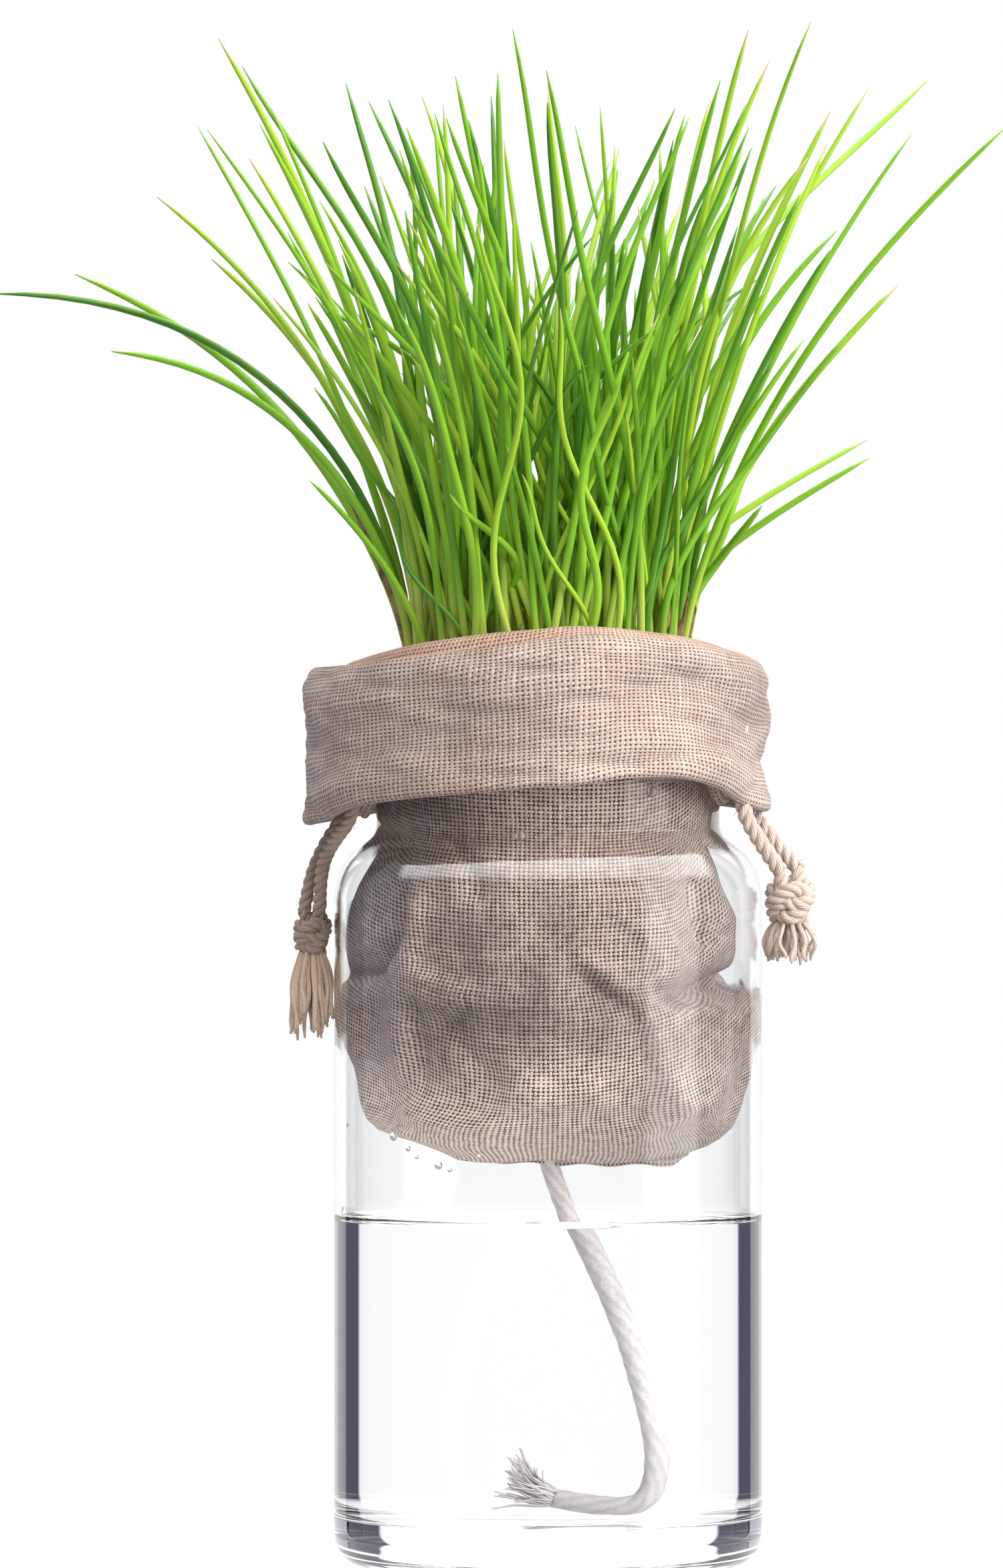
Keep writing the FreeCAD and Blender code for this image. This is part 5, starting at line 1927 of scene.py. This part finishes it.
@dataclass
class Chives:
    """Chives in rings, in eight clumps, with the dry husks at their foot.

    Attributes:
        finishes: The finishes.
        bed: Radius of the outer ring at the soil.
        reach: Height that the others are shares of.
        lean: Lean of an outer leaf that rises the whole reach.
        size: Radius of a leaf.
        foot: Height at which the leaves start.
        swirl: Turn of the rings over the reach, in degrees.
        sectors, extra: Number of clumps, and leaves of each between the main ones.
        rows, sides: Rings of each leaf, and points of each ring.
        edge: Furthest place of a leaf to the right, and to the front or the back.
        taper: Share of the radius, by share of the length.
        husk_bed, husk_size: Distance of the husks from the axis, and half the width of one.
        husks: Bearing in degrees, share of the reach and lean in millimetres of each husk.
    """

    finishes: Finishes
    bed: float = 30.6 * MM
    reach: float = 150.0 * MM
    lean: float = 66.0 * MM
    size: float = 1.02 * MM
    foot: float = 192.2 * MM
    swirl: float = 9.0
    sectors: int = 8
    rows: int = 26
    sides: int = 8
    extra: int = 22
    edge: Pair = (101.0 * MM, 79.0 * MM)
    taper: Table = (
        (0.0, 1.0), (0.3, 0.98), (0.55, 0.94), (0.72, 0.88), (0.84, 0.79), (0.92, 0.66),
        (0.97, 0.47), (1.0, 0.10),
    )
    husk_bed: float = 28.6 * MM
    husk_size: float = 1.35 * MM
    husks: Table = (
        (-32, 0.21, 5), (-28, 0.17, 7), (-58, 0.12, 3), (-142, 0.13, 4), (-139, 0.09, 2),
        (-172, 0.32, 17), (171, 0.12, 4), (75, 0.11, 3), (-100, 0.12, 4), (-8, 0.19, 6),
    )

    def main_leaves(self) -> list[list[Leaf]]:
        """The leaves of the frame's clumps, by the same draws, with soft bends of their own.

        Returns:
            The leaves of each clump.
        """
        chance = random.Random(7)
        own = random.Random(70)
        groups = [[] for _ in range(self.sectors)]
        for ring, (bed_share, count) in enumerate(RING_SHARES):
            outer = ring == len(RING_SHARES) - 1
            swirl = math.radians(self.swirl if ring % 2 else -self.swirl)
            low, high = (0.42, 0.92) if outer else (0.72, 1.06)
            for index in range(count):
                angle = FULL_TURN / count * (index + 0.5 + chance.uniform(-1, 1) * 0.1)
                bed = self.bed * (bed_share - chance.uniform(0, 1) * 0.02)
                rise = self.reach * chance.uniform(low, high)
                wide = 1 + chance.uniform(-1, 1) * 0.14
                lean = self.lean * bed_share * wide * (rise / self.reach) ** 1.6
                droop, curve = 0.0, 1.6
                leads = outer and index in LEADING_SHARES
                if leads:
                    lean_share, rise_share, droop = LEADING_SHARES[index]
                    lean, rise, curve = self.reach * lean_share, self.reach * rise_share, 2.0
                leaf = Leaf(bed, angle, swirl, lean, rise / (1 - droop), droop, curve, self.size)
                leaf.size *= own.uniform(0.78, 1.08)
                if not leads:
                    leaf.rise *= own.triangular(0.55, 1.0, 0.8)
                    leaf.lean *= own.uniform(0.3, 0.95)
                    leaf.curve = own.uniform(1.3, 3.0)
                leaf.stray = own.gauss(0, 1) * (2.0 if leads else 19.0) * MM
                leaf.sway = own.gauss(0, 1) * 3.2 * MM
                leaf.tint = own.uniform(0, 1)
                groups[index * self.sectors // count].append(leaf)
        return groups

    def extra_leaves(self, sector: int) -> list[Leaf]:
        """Leaves between the main ones, which cross them at all slants.

        Args:
            sector: Number of the clump, from 0.

        Returns:
            The leaves.
        """
        chance = random.Random(700 + sector)
        leaves = []
        for _ in range(self.extra):
            share = math.sqrt(chance.uniform(0.02, 1.08))
            angle = FULL_TURN * (sector + chance.uniform(-0.1, 1.1)) / self.sectors
            low, high = chance.choice([(0.5, 0.85), (0.25, 0.65), (0.7, 1.0)])
            rise = self.reach * chance.uniform(low, high)
            lean = self.lean * share * chance.uniform(-0.3, 1.0) * (rise / self.reach) ** 1.4
            curve, bed = chance.uniform(1.3, 2.2), self.bed * share * 0.98
            leaf = Leaf(bed, angle, 0.0, lean, rise, 0.0, curve, self.size)
            leaf.size *= chance.uniform(0.6, 1.0)
            leaf.stray = chance.gauss(0, 1) * 33.0 * MM * rise / self.reach
            leaf.sway = chance.gauss(0, 1) * 3.6 * MM
            leaf.tint = chance.uniform(0, 1)
            leaves.append(leaf)
        for leaf in leaves[:3]:
            leaf.rise = self.reach * chance.uniform(0.5, 0.82)
            leaf.lean *= chance.uniform(-1.2, 0.8)
            leaf.stray = chance.choice([-1.0, 1.0]) * chance.uniform(25.0, 62.0) * MM
            leaf.droop = chance.uniform(0.0, 0.25)
        return leaves

    def leaf_lines(self, leaves: Sequence[Leaf]) -> Grid:
        """Lines of leaves: upright at the foot, leaning out as a power of the height.

        Args:
            leaves: The leaves.

        Returns:
            Places, (leaves, rows, 3), in metres.
        """
        facts = np.array([astuple(leaf) for leaf in leaves]).T[..., None]
        bed, angle, swirl, lean, rise, droop, curve, _, stray, sway, _ = facts
        part = np.linspace(0.0, 1.0, self.rows)[None]
        height = rise * (part - droop * part**3)
        arch = np.sin(math.pi * part)
        across = bed + lean * part**curve + 0.6 * sway * arch**2
        turn = angle + swirl * height / self.reach
        aside = stray * part**1.7 + sway * arch * np.sin(FULL_TURN * part)
        x = across * np.cos(turn) - aside * np.sin(turn)
        y = across * np.sin(turn) + aside * np.cos(turn)
        right, deep = self.edge
        x = x * np.minimum(1.0, right / np.maximum(x.max(1, keepdims=True), 1e-6))
        y = y * np.minimum(1.0, deep / np.abs(y).max(1, keepdims=True))
        return np.stack([x, y, self.foot + height], -1)

    def make_clump(self, sector: int, leaves: Sequence[Leaf]) -> None:
        """One clump: tapered, slightly flat tubes along the leaves' lines.

        Args:
            sector: Number of the clump, from 0.
            leaves: Its leaves.
        """
        part = np.linspace(0.0, 1.0, self.rows)
        size = np.array([leaf.size for leaf in leaves])[:, None] * look_up(part, self.taper)
        points = tubes(self.leaf_lines(leaves), size, self.sides, (0.3, 0.95, 0.1), 0.78)
        tint = np.array([leaf.tint for leaf in leaves])
        around = np.linspace(0.0, 1.0, self.sides + 1) + tint[:, None, None] * 7.3
        uv = paired(around, part[:, None])
        name, node = f"chives_{sector + 1}", f"chive_clump_{sector + 1}"
        skin = Skin(points, uv=uv, tint=tint)
        make_piece(name, [skin], [self.finishes.leaf], Body.BAG, [node])

    def make_husks(self) -> None:
        """Dry husks: thin curled strips that stand at the clump's foot."""
        chance = np.random.default_rng(61)
        bearing, rise, lean = np.array(self.husks).T[..., None]
        angle = np.radians(bearing)
        share = np.linspace(0.0, 1.0, 22)[None]
        across = self.husk_bed + lean * MM * share**1.4
        phase = chance.uniform(0, 6, (len(self.husks), 1))
        twist = angle + 0.06 * np.sin(5 * share + phase) * share
        up = self.foot + rise * self.reach * share
        lines = placed(across, twist, up)
        slim = self.husk_size * (1 - 0.85 * share**2) * (1 + 0.25 * np.sin(14 * share + angle))
        points = tubes(lines, slim, 10, (0.5, 0.8, 0.1), 0.3)
        skin = Skin(points + 0.25 * MM * waves(points, 0.004, 62)[..., None])
        dry, node = [self.finishes.husk], "withered_leaves"
        make_piece("dry_husks", [skin], dry, Body.BAG, [node])

    def make(self) -> None:
        """Builds the clumps and the husks."""
        for sector, leaves in enumerate(self.main_leaves()):
            self.make_clump(sector, leaves + self.extra_leaves(sector))
        self.make_husks()


def main() -> None:
    """Builds the planter around the frame: camera and cords first, then the rest."""
    logging.basicConfig(level=logging.INFO, format="%(message)s")
    studio = Studio()
    studio.aim_camera()
    finishes = Finishes()
    Wick(finishes).make()
    Drawstring(
        yarn=finishes.grey_cord, frayed=finishes.frayed, side="left", body=Body.LEFT,
        slot=Slot.GREY_CORD, radius=1.6 * MM, lay=7.0 * MM, run=(40.2 * MM, 179.0 * MM),
        knot_size=(4.6 * MM, 9.6 * MM), knot_seat=1.0 * MM,
        tassel_size=(3.3 * MM, 4.6 * MM, 18.4 * MM), yarns=64, seed=101,
    ).make()
    Drawstring(
        yarn=finishes.cream_cord, frayed=finishes.cream_cord, side="right", body=Body.RIGHT,
        slot=Slot.CREAM_CORD, radius=1.85 * MM, lay=8.0 * MM, run=(42.6 * MM, 179.0 * MM),
        knot_size=(6.0 * MM, 11.0 * MM), knot_seat=1.9 * MM,
        tassel_size=(4.0 * MM, 5.2 * MM, 8.4 * MM), yarns=52, seed=201,
    ).make()
    GlassJar(finishes).make()
    LinenBag(finishes).make()
    Chives(finishes).make()
    studio.dress()


if __name__ == "__main__":
    main()
